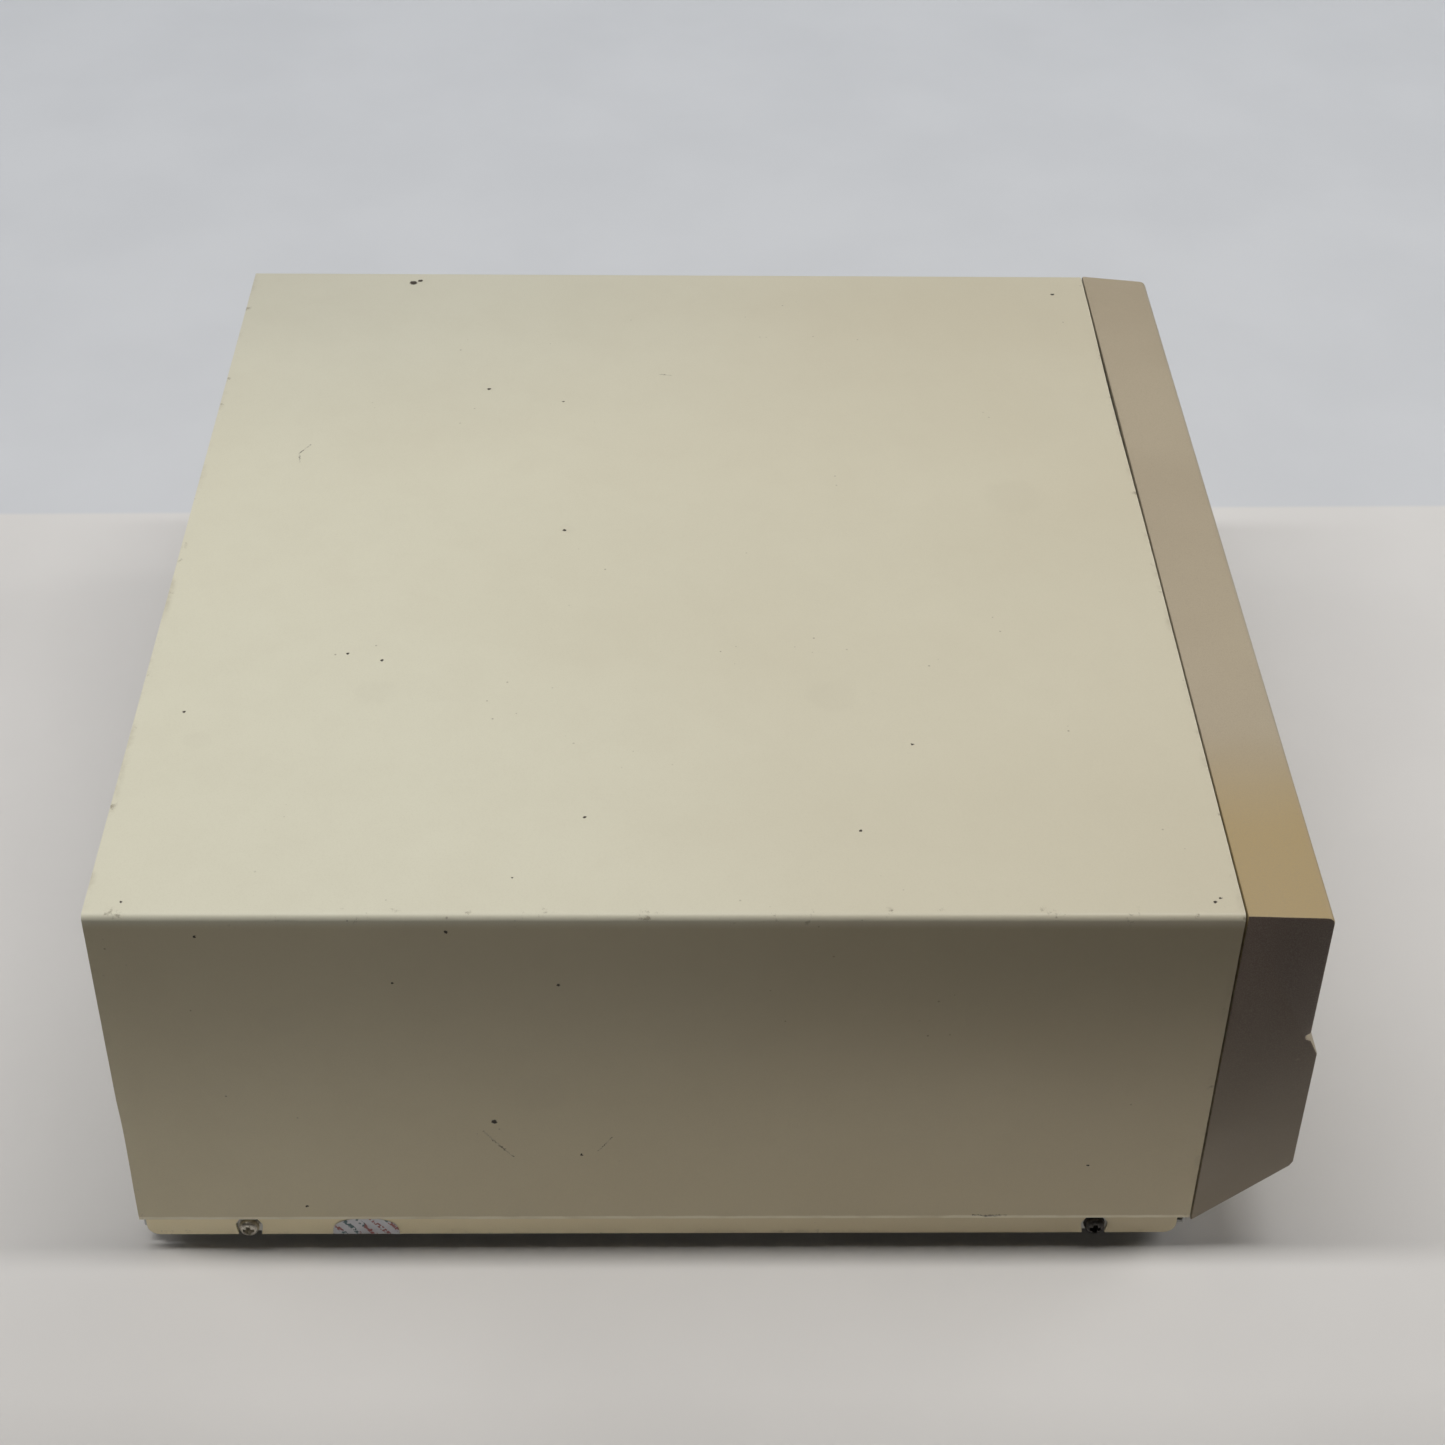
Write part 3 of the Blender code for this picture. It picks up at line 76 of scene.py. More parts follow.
class Shader:
    """One material in the making: each method adds a node and gives back its output."""

    def __init__(self, name):
        self.material = bpy.data.materials.new(name)
        self.material.use_nodes = True
        self.tree = self.material.node_tree
        self.surface = self.tree.nodes["Principled BSDF"]
        self.place = self.node("ShaderNodeTexCoord").outputs["Object"]
        self.x, self.y, self.z = self.node("ShaderNodeSeparateXYZ", [(0, self.place)]).outputs

    def node(self, kind, inputs=(), **settings):
        made = self.tree.nodes.new(kind)
        for key, value in settings.items():
            setattr(made, key, value)
        for socket, value in inputs:
            self.put(made.inputs[socket], value)
        return made

    def put(self, socket, value):
        if isinstance(value, bpy.types.NodeSocket):
            self.tree.links.new(value, socket)
        else:
            socket.default_value = value

    def math(self, operation, *values, clamp=False):
        made = self.node("ShaderNodeMath", enumerate(values), operation=operation)
        made.use_clamp = clamp
        return made.outputs[0]

    def times(self, *values):
        return self.math("MULTIPLY", *values)

    def plus(self, *values, clamp=False):
        return self.math("ADD", *values, clamp=clamp)

    def vector(self, operation, *values, out=0):
        return self.node("ShaderNodeVectorMath", enumerate(values), operation=operation).outputs[out]

    def noise(self, scale, detail=2.0, rough=0.5, at=None, stretch=None, colour=False):
        at = at or self.place
        if stretch:
            at = self.vector("MULTIPLY", at, stretch)
        made = self.node("ShaderNodeTexNoise", [("Vector", at), ("Scale", scale), ("Detail", detail),
                                                ("Roughness", rough)])
        return made.outputs["Color" if colour else "Fac"]

    def cells(self, scale, feature="F1", out="Distance", at=None, random=1.0):
        made = self.node("ShaderNodeTexVoronoi", [("Vector", at or self.place), ("Scale", scale),
                                                  ("Randomness", random)], feature=feature)
        return made.outputs[out]

    def step(self, value, low, high, bottom=0.0, top=1.0):
        """Rises smoothly from bottom to top as the value goes from low to high."""
        made = self.node("ShaderNodeMapRange", [("Value", value), ("From Min", low), ("From Max", high),
                                                ("To Min", bottom), ("To Max", top)])
        made.interpolation_type = "SMOOTHSTEP"
        return made.outputs[0]

    def band(self, value, middle, half, soft):
        """1 within half of the middle, falling to 0 over soft."""
        off = self.math("ABSOLUTE", self.math("SUBTRACT", value, middle))
        return self.step(off, half + soft, half)

    def mix(self, factor, first, second, blend="MIX"):
        made = self.node("ShaderNodeMix", data_type="RGBA", blend_type=blend)
        for socket, value in ((0, factor), (6, first), (7, second)):
            self.put(made.inputs[socket], (*value, 1.0) if isinstance(value, tuple) else value)
        return made.outputs[2]

    def most(self, values):
        """The greatest of several masks."""
        total, *others = values
        for value in others:
            total = self.math("MAXIMUM", total, value)
        return total

    def ribs(self, value, rate):
        """Even ribs: 0 in each groove, and 1 on each crest."""
        return self.math("ABSOLUTE", self.math("SINE", self.times(value, rate)))

    def wobble(self, scale, amount):
        """The place, shifted a little at random, so that what is drawn there gets a ragged outline."""
        shift = self.vector("SUBTRACT", self.noise(scale, colour=True), (0.5, 0.5, 0.5))
        return self.vector("ADD", self.place, self.vector("SCALE", shift, (0, 0, 0), (0, 0, 0), amount))

    def spot(self, at, place, radius):
        distance = self.vector("DISTANCE", at, place, out=1)
        return self.step(distance, radius * 1.25, radius * 0.75)

    def stroke(self, at, start, end, half):
        """A thin straight mark from start to end."""
        start, end = Vector(start), Vector(end)
        length = (end - start).length
        way = tuple((end - start) / length)
        offset = self.vector("SUBTRACT", at, tuple(start))
        along = self.math("MAXIMUM", self.vector("DOT_PRODUCT", offset, way, out=1), 0.0)
        along = self.math("MINIMUM", along, length)
        foot = self.node("ShaderNodeVectorMath", [(0, way), ("Scale", along)], operation="SCALE").outputs[0]
        return self.step(self.vector("DISTANCE", offset, foot, out=1), half * 1.3, half * 0.5)

    def bump(self, height, strength, distance, normal=None):
        inputs = [("Height", height), ("Strength", strength), ("Distance", distance)]
        if normal:
            inputs.append(("Normal", normal))
        return self.node("ShaderNodeBump", inputs).outputs[0]

    def finish(self, colour, roughness, normal=None, **constants):
        """Sets the surface; the constants are socket names with _ for a space."""
        self.put(self.surface.inputs["Base Color"], (*colour, 1.0) if isinstance(colour, tuple) else colour)
        self.put(self.surface.inputs["Roughness"], roughness)
        if normal:
            self.put(self.surface.inputs["Normal"], normal)
        for name, value in constants.items():
            self.surface.inputs[name.replace("_", " ")].default_value = value
        return self.material


def on_top(back, across):
    """A point on the cover's top: millimetres from its rear edge and from its left side."""
    return (LEFT + across * MM, REAR - back * MM, TOP)


def on_side(back, up):
    """A point on the cover's left side: millimetres from its rear edge and up from the fold."""
    return (LEFT, REAR - back * MM, FOLD + up * MM)


# Chips and stains: places as on_top and on_side take them, then the radius in millimetres
CHIPS = (
    (on_top, ((73, 427, 1.7), (76, 429, 1.1), (149, 225, 0.6), (113, 333, 0.8), (72, 143, 0.7),
              (85, 139, 0.5), (17, 108, 0.6), (256, 43, 0.6), (145, 323, 0.5), (365, 419, 0.8),
              (162, 50, 0.5), (139, 19, 0.4), (277, 90, 0.5), (371, 7, 0.6), (373, 9, 0.5), (12, 7, 0.5))),
    (on_side, ((130, 51, 1.0), (154, 117, 0.6), (160, 34, 0.5), (118, 141, 0.6), (61, 7, 0.5),
               (340, 28, 0.5), (99, 118, 0.5), (36, 139, 0.5))))
STAINS = (
    (on_top, ((112, 334, 3.2), (150, 226, 3.0), (24, 92, 5.0), (84, 120, 7.0), (250, 118, 9.0),
              (330, 250, 12.0))),
    (on_side, ((147, 66, 9.0), (60, 100, 7.0))))
# Scratches: where they start and end, then half the width in millimetres
SCRATCHES = (
    (on_top, (((42, 288), (38, 281), 0.3), ((38, 281), (39, 274), 0.3), ((186, 346), (191, 345), 0.4))),
    (on_side, (((126, 46), (132, 38), 0.4), ((132, 38), (136, 33), 0.3), ((171, 43), (166, 36), 0.2),
               ((301, 1.6), (307, 1.2), 0.35), ((305, 1.1), (313, 1.5), 0.55))))


def cover_marks(s):
    """Two masks of long use on the cover: its chips and scratches, and its stains."""
    ragged, faint = s.wobble(900, 0.0014), s.wobble(300, 0.006)
    dark = [s.spot(ragged, on(*place), radius * MM) for on, spots in CHIPS for *place, radius in spots]
    scratches = [s.stroke(ragged, on(*start), on(*end), half * MM)
                 for on, strokes in SCRATCHES for start, end, half in strokes]
    broken = s.step(s.noise(330, detail=4.0, rough=0.7), 0.42, 0.6, 0.15, 0.75)
    dark.append(s.times(s.most(scratches), broken))
    stains = [s.spot(faint, on(*place), radius * MM) for on, spots in STAINS for *place, radius in spots]
    return s.most(dark), s.most(stains)


def cover_paint():
    """Cream baked enamel: satin, faintly rippled, warmer to the front, chipped and dirty at its edges."""
    s = Shader("looks_cover_paint")
    cool, warm = (0.655, 0.64, 0.52), (0.562, 0.517, 0.397)
    front, border = COVER_LOW.y, 0.003
    cloud = s.math("SUBTRACT", s.noise(5.0, detail=3.0), 0.5)
    tone = s.plus(s.times(s.step(s.y, REAR, front), 0.75), s.times(cloud, 0.9), clamp=True)
    colour = s.mix(tone, cool, warm)
    mottle = s.noise(60, detail=5.0, rough=0.65)
    colour = s.mix(s.step(mottle, 0.35, 0.75, 0.0, 0.07), colour, (0.47, 0.43, 0.33))
    # Painted shade: the sides are tinted warmer and darker than the top, and darkened further towards their
    # top edge, most towards the front.
    flank = s.step(s.z, TOP - 0.001, TOP - 0.006)
    colour = s.mix(flank, colour, (1.0, 0.915, 0.78), "MULTIPLY")
    side_shade = s.times(flank, s.step(s.z, FOLD + 0.04, TOP - 0.01))
    side_shade = s.times(side_shade, s.step(s.y, REAR, front, 0.45, 1.0))
    colour = s.mix(side_shade, colour, (0.66, 0.66, 0.66), "MULTIPLY")
    grain = s.noise(1800, detail=2.0)
    colour = s.mix(s.step(grain, 0.4, 0.8, 0.0, 0.1), colour, (0.42, 0.38, 0.28))

    height, from_left = s.math("SUBTRACT", TOP, s.z), s.math("SUBTRACT", s.x, LEFT)
    # Dust and painted shade: the cover darkens from the middle of its top out to its far side, most towards
    # the rear.
    dust_and_shade = s.times(s.step(from_left, 0.25, 0.44), s.step(s.y, front, REAR, 0.2, 1.0))
    colour = s.mix(dust_and_shade, colour, (0.87, 0.87, 0.89), "MULTIPLY")
    near_bend = s.step(s.plus(height, from_left), 0.006, 0.001)
    cut_edges = [s.step(s.y, REAR - border, REAR), s.step(s.y, front + border, front),
                 s.step(s.z, COVER_LOW.z + border, COVER_LOW.z)]
    worn = s.times(s.step(s.noise(140, detail=6.0, rough=0.7), 0.6, 0.68), s.most([near_bend, *cut_edges]))
    dirt_and_shade = s.times(s.step(s.noise(45, detail=6.0, rough=0.7), 0.48, 0.72), s.most(cut_edges))
    specks = s.times(s.step(s.cells(150), 0.075, 0.045), s.step(s.noise(22, detail=1.0), 0.6, 0.66))
    dark, stains = cover_marks(s)
    colour = s.mix(s.times(stains, 0.04), colour, (0.3, 0.27, 0.22))
    # Painted highlight: a pale, lumpy line runs along the fold, just above the lip.
    lumps = s.math("SUBTRACT", s.noise(160, detail=4.0), 0.5)
    fold = s.band(s.plus(s.z, s.times(lumps, 0.0008)), FOLD + 0.0006, 0.0004, 0.0006)
    fold_highlight = s.times(fold, s.step(s.noise(55), 0.3, 0.55, 0.45, 1.0))
    colour = s.mix(s.times(fold_highlight, 0.75), colour, (0.9, 0.84, 0.68))
    # Painted light: the lip below the fold is brightened, most towards the rear.
    lip_light = s.times(s.step(s.z, FOLD - 0.0004, FOLD - 0.0014), s.step(s.y, front, REAR, 0.25, 1.0))
    colour = s.mix(lip_light, colour, (1.36, 1.34, 1.3), "MULTIPLY")
    colour = s.mix(s.times(dirt_and_shade, 0.35), colour, (0.24, 0.2, 0.14))
    colour = s.mix(s.times(worn, 0.65), colour, (0.2, 0.165, 0.11))
    colour = s.mix(s.times(specks, 0.55), colour, (0.16, 0.13, 0.09))
    colour = s.mix(dark, colour, (0.045, 0.036, 0.028))

    wiped = s.noise(16, detail=4.0, stretch=(1.0, 0.35, 1.0))
    roughness = s.plus(s.step(wiped, 0.3, 0.7, 0.36, 0.5), s.times(dark, 0.3))
    ripple = s.bump(s.noise(420, detail=2.0), 0.25, 0.00012)
    chipped = s.bump(s.math("SUBTRACT", 1.0, s.most([dark, worn])), 0.5, 0.00015, ripple)
    return s.finish(colour, roughness, chipped, Specular_IOR_Level=0.45)


def moulded_plastic(name, base, shade, roughness=0.52, grain=2300, ageing_and_shade=None):
    """Moulded plastic with a fine spark-eroded texture, a cloudy tone and light scuffs."""
    s = Shader("looks_" + name)
    colour = s.mix(s.step(s.noise(9.0, detail=4.0), 0.3, 0.72), base, shade)
    if ageing_and_shade:
        colour = ageing_and_shade(s, colour)
    spark = s.noise(grain, detail=3.0, rough=0.6)
    deeper = tuple(c * 0.72 for c in base)
    colour = s.mix(s.step(spark, 0.38, 0.72, 0.0, 0.3), colour, deeper)
    rubs = s.noise(75, detail=7.0, rough=0.72, stretch=(1.0, 1.0, 3.0))
    scuff = s.times(s.step(rubs, 0.63, 0.72), s.step(s.noise(14), 0.5, 0.62))
    paler = tuple(min(1.0, c * 1.35 + 0.02) for c in base)
    colour = s.mix(s.times(scuff, 0.35), colour, paler)
    gloss = s.step(s.noise(26, detail=4.0), 0.3, 0.72, roughness - 0.06, roughness + 0.08)
    return s.finish(colour, gloss, s.bump(spark, 0.45, 0.0001), Specular_IOR_Level=0.42)


def bezel_ageing_and_shade(s, colour):
    """Sunlight has turned the bezel yellow-brown near its upper left corner. Painted light lightens its
    upward faces, and painted shade darkens its ends, most towards their top.
    """
    from_left = s.plus(s.math("SUBTRACT", s.x, LEFT), s.times(s.noise(12, detail=3.0), 0.03))
    upper = s.step(s.z, TOP - 0.06, TOP - 0.004, 0.15, 1.0)
    colour = s.mix(s.times(s.step(from_left, 0.125, 0.05), upper), colour, (0.345, 0.262, 0.133))
    normal = s.node("ShaderNodeNewGeometry").outputs["Normal"]
    across, _, up = s.node("ShaderNodeSeparateXYZ", [(0, normal)]).outputs
    # Painted highlight: faces that point upwards are lightened.
    colour = s.mix(s.step(up, 0.6, 0.9), colour, (1.12, 1.11, 1.1), "MULTIPLY")
    # Painted shade: the ends, which face sideways, are darkened, most towards their top.
    end = s.step(s.math("ABSOLUTE", across), 0.6, 0.9)
    dirt_and_shade = s.step(s.z, FOLD + 0.01, TOP - 0.01, 0.42, 1.0)
    return s.mix(s.times(end, dirt_and_shade), colour, (0.118, 0.084, 0.068))


def plated_steel(name, base, shade, roughness=0.34, grain=(1.0, 30.0, 1.0)):
    """Zinc-plated sheet: a dull spangle, the rolling direction's fine lines, and stains."""
    s = Shader("looks_" + name)
    spangle = s.cells(110, out="Color")
    level = s.node("ShaderNodeSeparateColor", [(0, spangle)]).outputs[0]
    lines = s.noise(420, detail=4.0, rough=0.6, stretch=grain)
    tone = s.plus(s.times(level, 0.35), s.times(lines, 0.6), clamp=True)
    colour = s.mix(tone, base, shade)
    stain = s.step(s.noise(30, detail=6.0, rough=0.68), 0.55, 0.75)
    colour = s.mix(s.times(stain, 0.45), colour, tuple(c * 0.55 for c in base))
    gloss = s.plus(s.step(lines, 0.3, 0.7, roughness - 0.05, roughness + 0.12), s.times(stain, 0.15))
    return s.finish(colour, gloss, s.bump(lines, 0.15, 0.00006), Metallic=0.92)


def cast_metal():
    """Drive bodies: blasted aluminium castings with a soft cloudy grey."""
    s = Shader("looks_drive_casting")
    sand = s.noise(900, detail=4.0, rough=0.7)
    cloud = s.noise(24, detail=5.0, rough=0.6)
    colour = s.mix(s.step(cloud, 0.32, 0.7), (0.5, 0.5, 0.51), (0.36, 0.36, 0.37))
    colour = s.mix(s.step(sand, 0.35, 0.75, 0.0, 0.35), colour, (0.24, 0.24, 0.25))
    return s.finish(colour, s.step(sand, 0.3, 0.7, 0.4, 0.58), s.bump(sand, 0.5, 0.00012), Metallic=0.85)


def circuit_board():
    """Green solder mask over copper tracks, with tinned pads in rows."""
    s = Shader("looks_circuit_board")
    bare, traced, lines = (0.012, 0.07, 0.032), (0.022, 0.125, 0.05), 1500.0
    tracks = s.step(s.ribs(s.y, lines), 0.55, 0.8)
    turned = s.step(s.ribs(s.x, lines), 0.55, 0.8)
    zones = s.step(s.noise(38, detail=1.0), 0.47, 0.53)
    colour = s.mix(zones, s.mix(tracks, bare, traced), s.mix(turned, bare, traced))
    rows = s.step(s.noise(60, detail=0.0), 0.6, 0.62)
    pads = s.times(s.step(s.cells(394, random=0.0), 0.22, 0.16), rows)
    colour = s.mix(pads, colour, (0.62, 0.6, 0.56))
    dust_and_shade = s.step(s.noise(70, detail=6.0, rough=0.7), 0.5, 0.8, 0.0, 0.3)
    colour = s.mix(dust_and_shade, colour, (0.25, 0.24, 0.21))
    relief = s.bump(s.most([tracks, pads]), 0.25, 0.00005)
    return s.finish(colour, s.plus(dust_and_shade, 0.3), relief, Specular_IOR_Level=0.5)


def chip_ceramic():
    s = Shader("looks_chip_ceramic")
    grain = s.noise(700, detail=4.0)
    colour = s.mix(s.step(grain, 0.35, 0.7), (0.15, 0.105, 0.115), (0.105, 0.075, 0.085))
    return s.finish(colour, s.step(grain, 0.3, 0.7, 0.42, 0.6), s.bump(grain, 0.3, 0.00006))


def screw_metal(name, base, shade, roughness, metallic=0.95):
    """Plated screws, dulled and mottled all over."""
    s = Shader("looks_" + name)
    wear = s.noise(600, detail=5.0, rough=0.7)
    colour = s.mix(s.step(wear, 0.38, 0.68), base, shade)
    return s.finish(colour, s.step(wear, 0.3, 0.7, roughness - 0.06, roughness + 0.16),
                    s.bump(s.noise(1500, detail=3.0), 0.25, 0.00005), Metallic=metallic)


def rubber():
    s = Shader("looks_foot_rubber")
    grain = s.noise(800, detail=4.0, rough=0.7)
    dust_and_shade = s.step(s.noise(90, detail=5.0), 0.5, 0.75, 0.0, 0.35)
    colour = s.mix(dust_and_shade, s.mix(s.step(grain, 0.3, 0.7), (0.022, 0.021, 0.02), (0.038, 0.036, 0.034)),
                   (0.15, 0.14, 0.125))
    return s.finish(colour, 0.82, s.bump(grain, 0.5, 0.00015))


def ribbon_grey():
    """Ribbon cable: parallel insulated wires, each a rib along the cable's run."""
    s = Shader("looks_cable_grey")
    wire_pitch = 0.00127
    rib = s.ribs(s.z, math.pi / wire_pitch)
    # Painted shade: the grooves between the wires are coloured darker than the wires' crests.
    colour = s.mix(s.step(rib, 0.1, 0.55), (0.25, 0.25, 0.26), (0.46, 0.46, 0.47))
    colour = s.mix(s.step(s.noise(50, detail=4.0), 0.45, 0.75, 0.0, 0.25), colour, (0.34, 0.32, 0.27))
    return s.finish(colour, 0.48, s.bump(rib, 0.8, 0.0004))


def seal_foil():
    """A silver-white sticker with slanting broken rows of soft red and teal."""
    s = Shader("looks_seal_foil")
    radians_per_metre = 1500.0
    slant = s.math("SUBTRACT", s.times(s.y, 0.8), s.times(s.z, 0.6))
    broken = s.noise(700, detail=4.0, rough=0.7)
    phase = s.plus(s.times(slant, radians_per_metre), s.times(broken, 1.6))
    row = s.step(s.math("SINE", phase), 0.1, 0.45)
    gaps = s.step(s.noise(900, detail=2.0), 0.44, 0.52)
    tint = s.mix(s.step(s.noise(160, detail=0.0), 0.46, 0.54), (0.3, 0.11, 0.1), (0.09, 0.15, 0.16))
    paper = s.mix(s.step(s.noise(120, detail=5.0), 0.35, 0.7), (0.6, 0.6, 0.63), (0.47, 0.47, 0.5))
    colour = s.mix(s.times(row, gaps), paper, tint)
    return s.finish(colour, s.step(broken, 0.3, 0.7, 0.28, 0.45), s.bump(broken, 0.3, 0.00006), Metallic=0.25)


def sleeve(name, base, shade, roughness):
    s = Shader("looks_" + name)
    grain = s.noise(300, detail=5.0, rough=0.6)
    colour = s.mix(s.step(grain, 0.35, 0.7), base, shade)
    return s.finish(colour, s.step(grain, 0.3, 0.7, roughness - 0.05, roughness + 0.1),
                    s.bump(grain, 0.3, 0.00008))


def lens(name, base, edge):
    """A small moulded light window, ribbed inside."""
    s = Shader("looks_" + name)
    ribs = s.ribs(s.x, 3200.0)
    colour = s.mix(s.step(ribs, 0.2, 0.9), edge, base)
    return s.finish(colour, s.step(s.noise(400), 0.3, 0.7, 0.16, 0.3), s.bump(ribs, 0.3, 0.0001),
                    Specular_IOR_Level=0.6)


def make_materials():
    return {
        "cover_paint": cover_paint(),
        "chassis_steel": plated_steel("chassis_steel", (0.58, 0.58, 0.56), (0.44, 0.44, 0.42)),
        "bezel_plastic": moulded_plastic("bezel_plastic", (0.385, 0.335, 0.25), (0.35, 0.3, 0.222),
                                         ageing_and_shade=bezel_ageing_and_shade),
        "beige_plastic": moulded_plastic("beige_plastic", (0.56, 0.5, 0.385), (0.52, 0.455, 0.335)),
        "black_plastic": moulded_plastic("black_plastic", (0.022, 0.022, 0.023), (0.03, 0.029, 0.029), 0.46),
        "drive_casting": cast_metal(),
        "circuit_board": circuit_board(),
        "chip_ceramic": chip_ceramic(),
        "bracket_steel": plated_steel("bracket_steel", (0.68, 0.68, 0.66), (0.55, 0.55, 0.53), 0.26,
                                      (30.0, 1.0, 1.0)),
        "bright_screw": screw_metal("bright_screw", (0.6, 0.57, 0.5), (0.36, 0.33, 0.28), 0.3),
        "dark_screw": screw_metal("dark_screw", (0.075, 0.07, 0.065), (0.04, 0.036, 0.032), 0.42, 0.8),
        "foot_rubber": rubber(),
        "cable_grey": ribbon_grey(),
        "seal_foil": seal_foil(),
        "battery_sleeve": sleeve("battery_sleeve", (0.045, 0.1, 0.27), (0.035, 0.075, 0.2), 0.28),
        "speaker_black": sleeve("speaker_black", (0.028, 0.027, 0.026), (0.045, 0.043, 0.041), 0.75),
        "green_lens": lens("green_lens", (0.04, 0.36, 0.11), (0.015, 0.16, 0.05)),
        "red_lens": lens("red_lens", (0.48, 0.035, 0.025), (0.23, 0.015, 0.012)),
        "contact_gold": screw_metal("contact_gold", (0.72, 0.6, 0.36), (0.58, 0.46, 0.26), 0.28),
        "label_paper": sleeve("label_paper", (0.7, 0.69, 0.66), (0.62, 0.61, 0.57), 0.45),
        "disc_ochre": sleeve("disc_ochre", (0.5, 0.26, 0.07), (0.4, 0.2, 0.05), 0.4),
        "wire_yellow": sleeve("wire_yellow", (0.62, 0.5, 0.08), (0.52, 0.42, 0.07), 0.38),
        "wire_red": sleeve("wire_red", (0.45, 0.045, 0.035), (0.36, 0.035, 0.028), 0.38),
        "wire_black": sleeve("wire_black", (0.025, 0.024, 0.024), (0.036, 0.035, 0.034), 0.38),
    }


# ------------ CAD nodes

def smooth_group():
    """Geometry nodes that weld a CAD mesh's faces and shade it smooth up to a crease angle."""
    crease = math.radians(32)
    group = bpy.data.node_groups.new("smooth_shading", "GeometryNodeTree")
    group.interface.new_socket("Geometry", in_out="INPUT", socket_type="NodeSocketGeometry")
    group.interface.new_socket("Geometry", in_out="OUTPUT", socket_type="NodeSocketGeometry")
    nodes, links = group.nodes, group.links
    start, end = nodes.new("NodeGroupInput"), nodes.new("NodeGroupOutput")
    weld = nodes.new("GeometryNodeMergeByDistance")
    weld.inputs["Distance"].default_value = 1e-6
    plain = nodes.new("GeometryNodeRemoveAttribute")
    plain.inputs["Name"].default_value = "custom_normal"
    faces = nodes.new("GeometryNodeSetShadeSmooth")
    edges = nodes.new("GeometryNodeSetShadeSmooth")
    edges.domain = "EDGE"
    angle = nodes.new("GeometryNodeInputMeshEdgeAngle")
    soft = nodes.new("FunctionNodeCompare")
    soft.operation = "LESS_THAN"
    soft.inputs[1].default_value = crease
    links.new(angle.outputs[0], soft.inputs[0])
    links.new(start.outputs[0], weld.inputs[0])
    links.new(weld.outputs[0], plain.inputs[0])
    links.new(plain.outputs[0], faces.inputs[0])
    links.new(faces.outputs[0], edges.inputs[0])
    links.new(soft.outputs[0], edges.inputs["Shade Smooth"])
    links.new(edges.outputs[0], end.inputs[0])
    return group


MATERIALS = make_materials()
SMOOTH = smooth_group()
BEVELS = {"top_cover": 0.00022, "front_frame": 0.0002, "floppy_525_faceplate": 0.0002}


def dress_nodes():
    """Gives each CAD node its slot's material, smooth shading and, where it shows, rounded edges."""
    slots = {part["node"]: part["material_slot"] for part in frame["record"]["subparts"]}
    for name, obj in NODES.items():
        obj.data.materials.clear()
        obj.data.materials.append(MATERIALS[slots[name]])
        obj.modifiers.new("smooth", "NODES").node_group = SMOOTH
        if name in BEVELS:
            bevel = obj.modifiers.new("rounding", "BEVEL")
            bevel.width = BEVELS[name]
            bevel.segments = 2
            bevel.limit_method = "ANGLE"
            bevel.angle_limit = math.radians(50)


# ------------ forms

def link(obj):
    bpy.context.scene.collection.objects.link(obj)
    return obj


def mesh_object(name, bm):
    """A bmesh made into an object of the scene."""
    mesh = bpy.data.meshes.new(name)
    bm.to_mesh(mesh)
    bm.free()
    return link(bpy.data.objects.new(name, mesh))


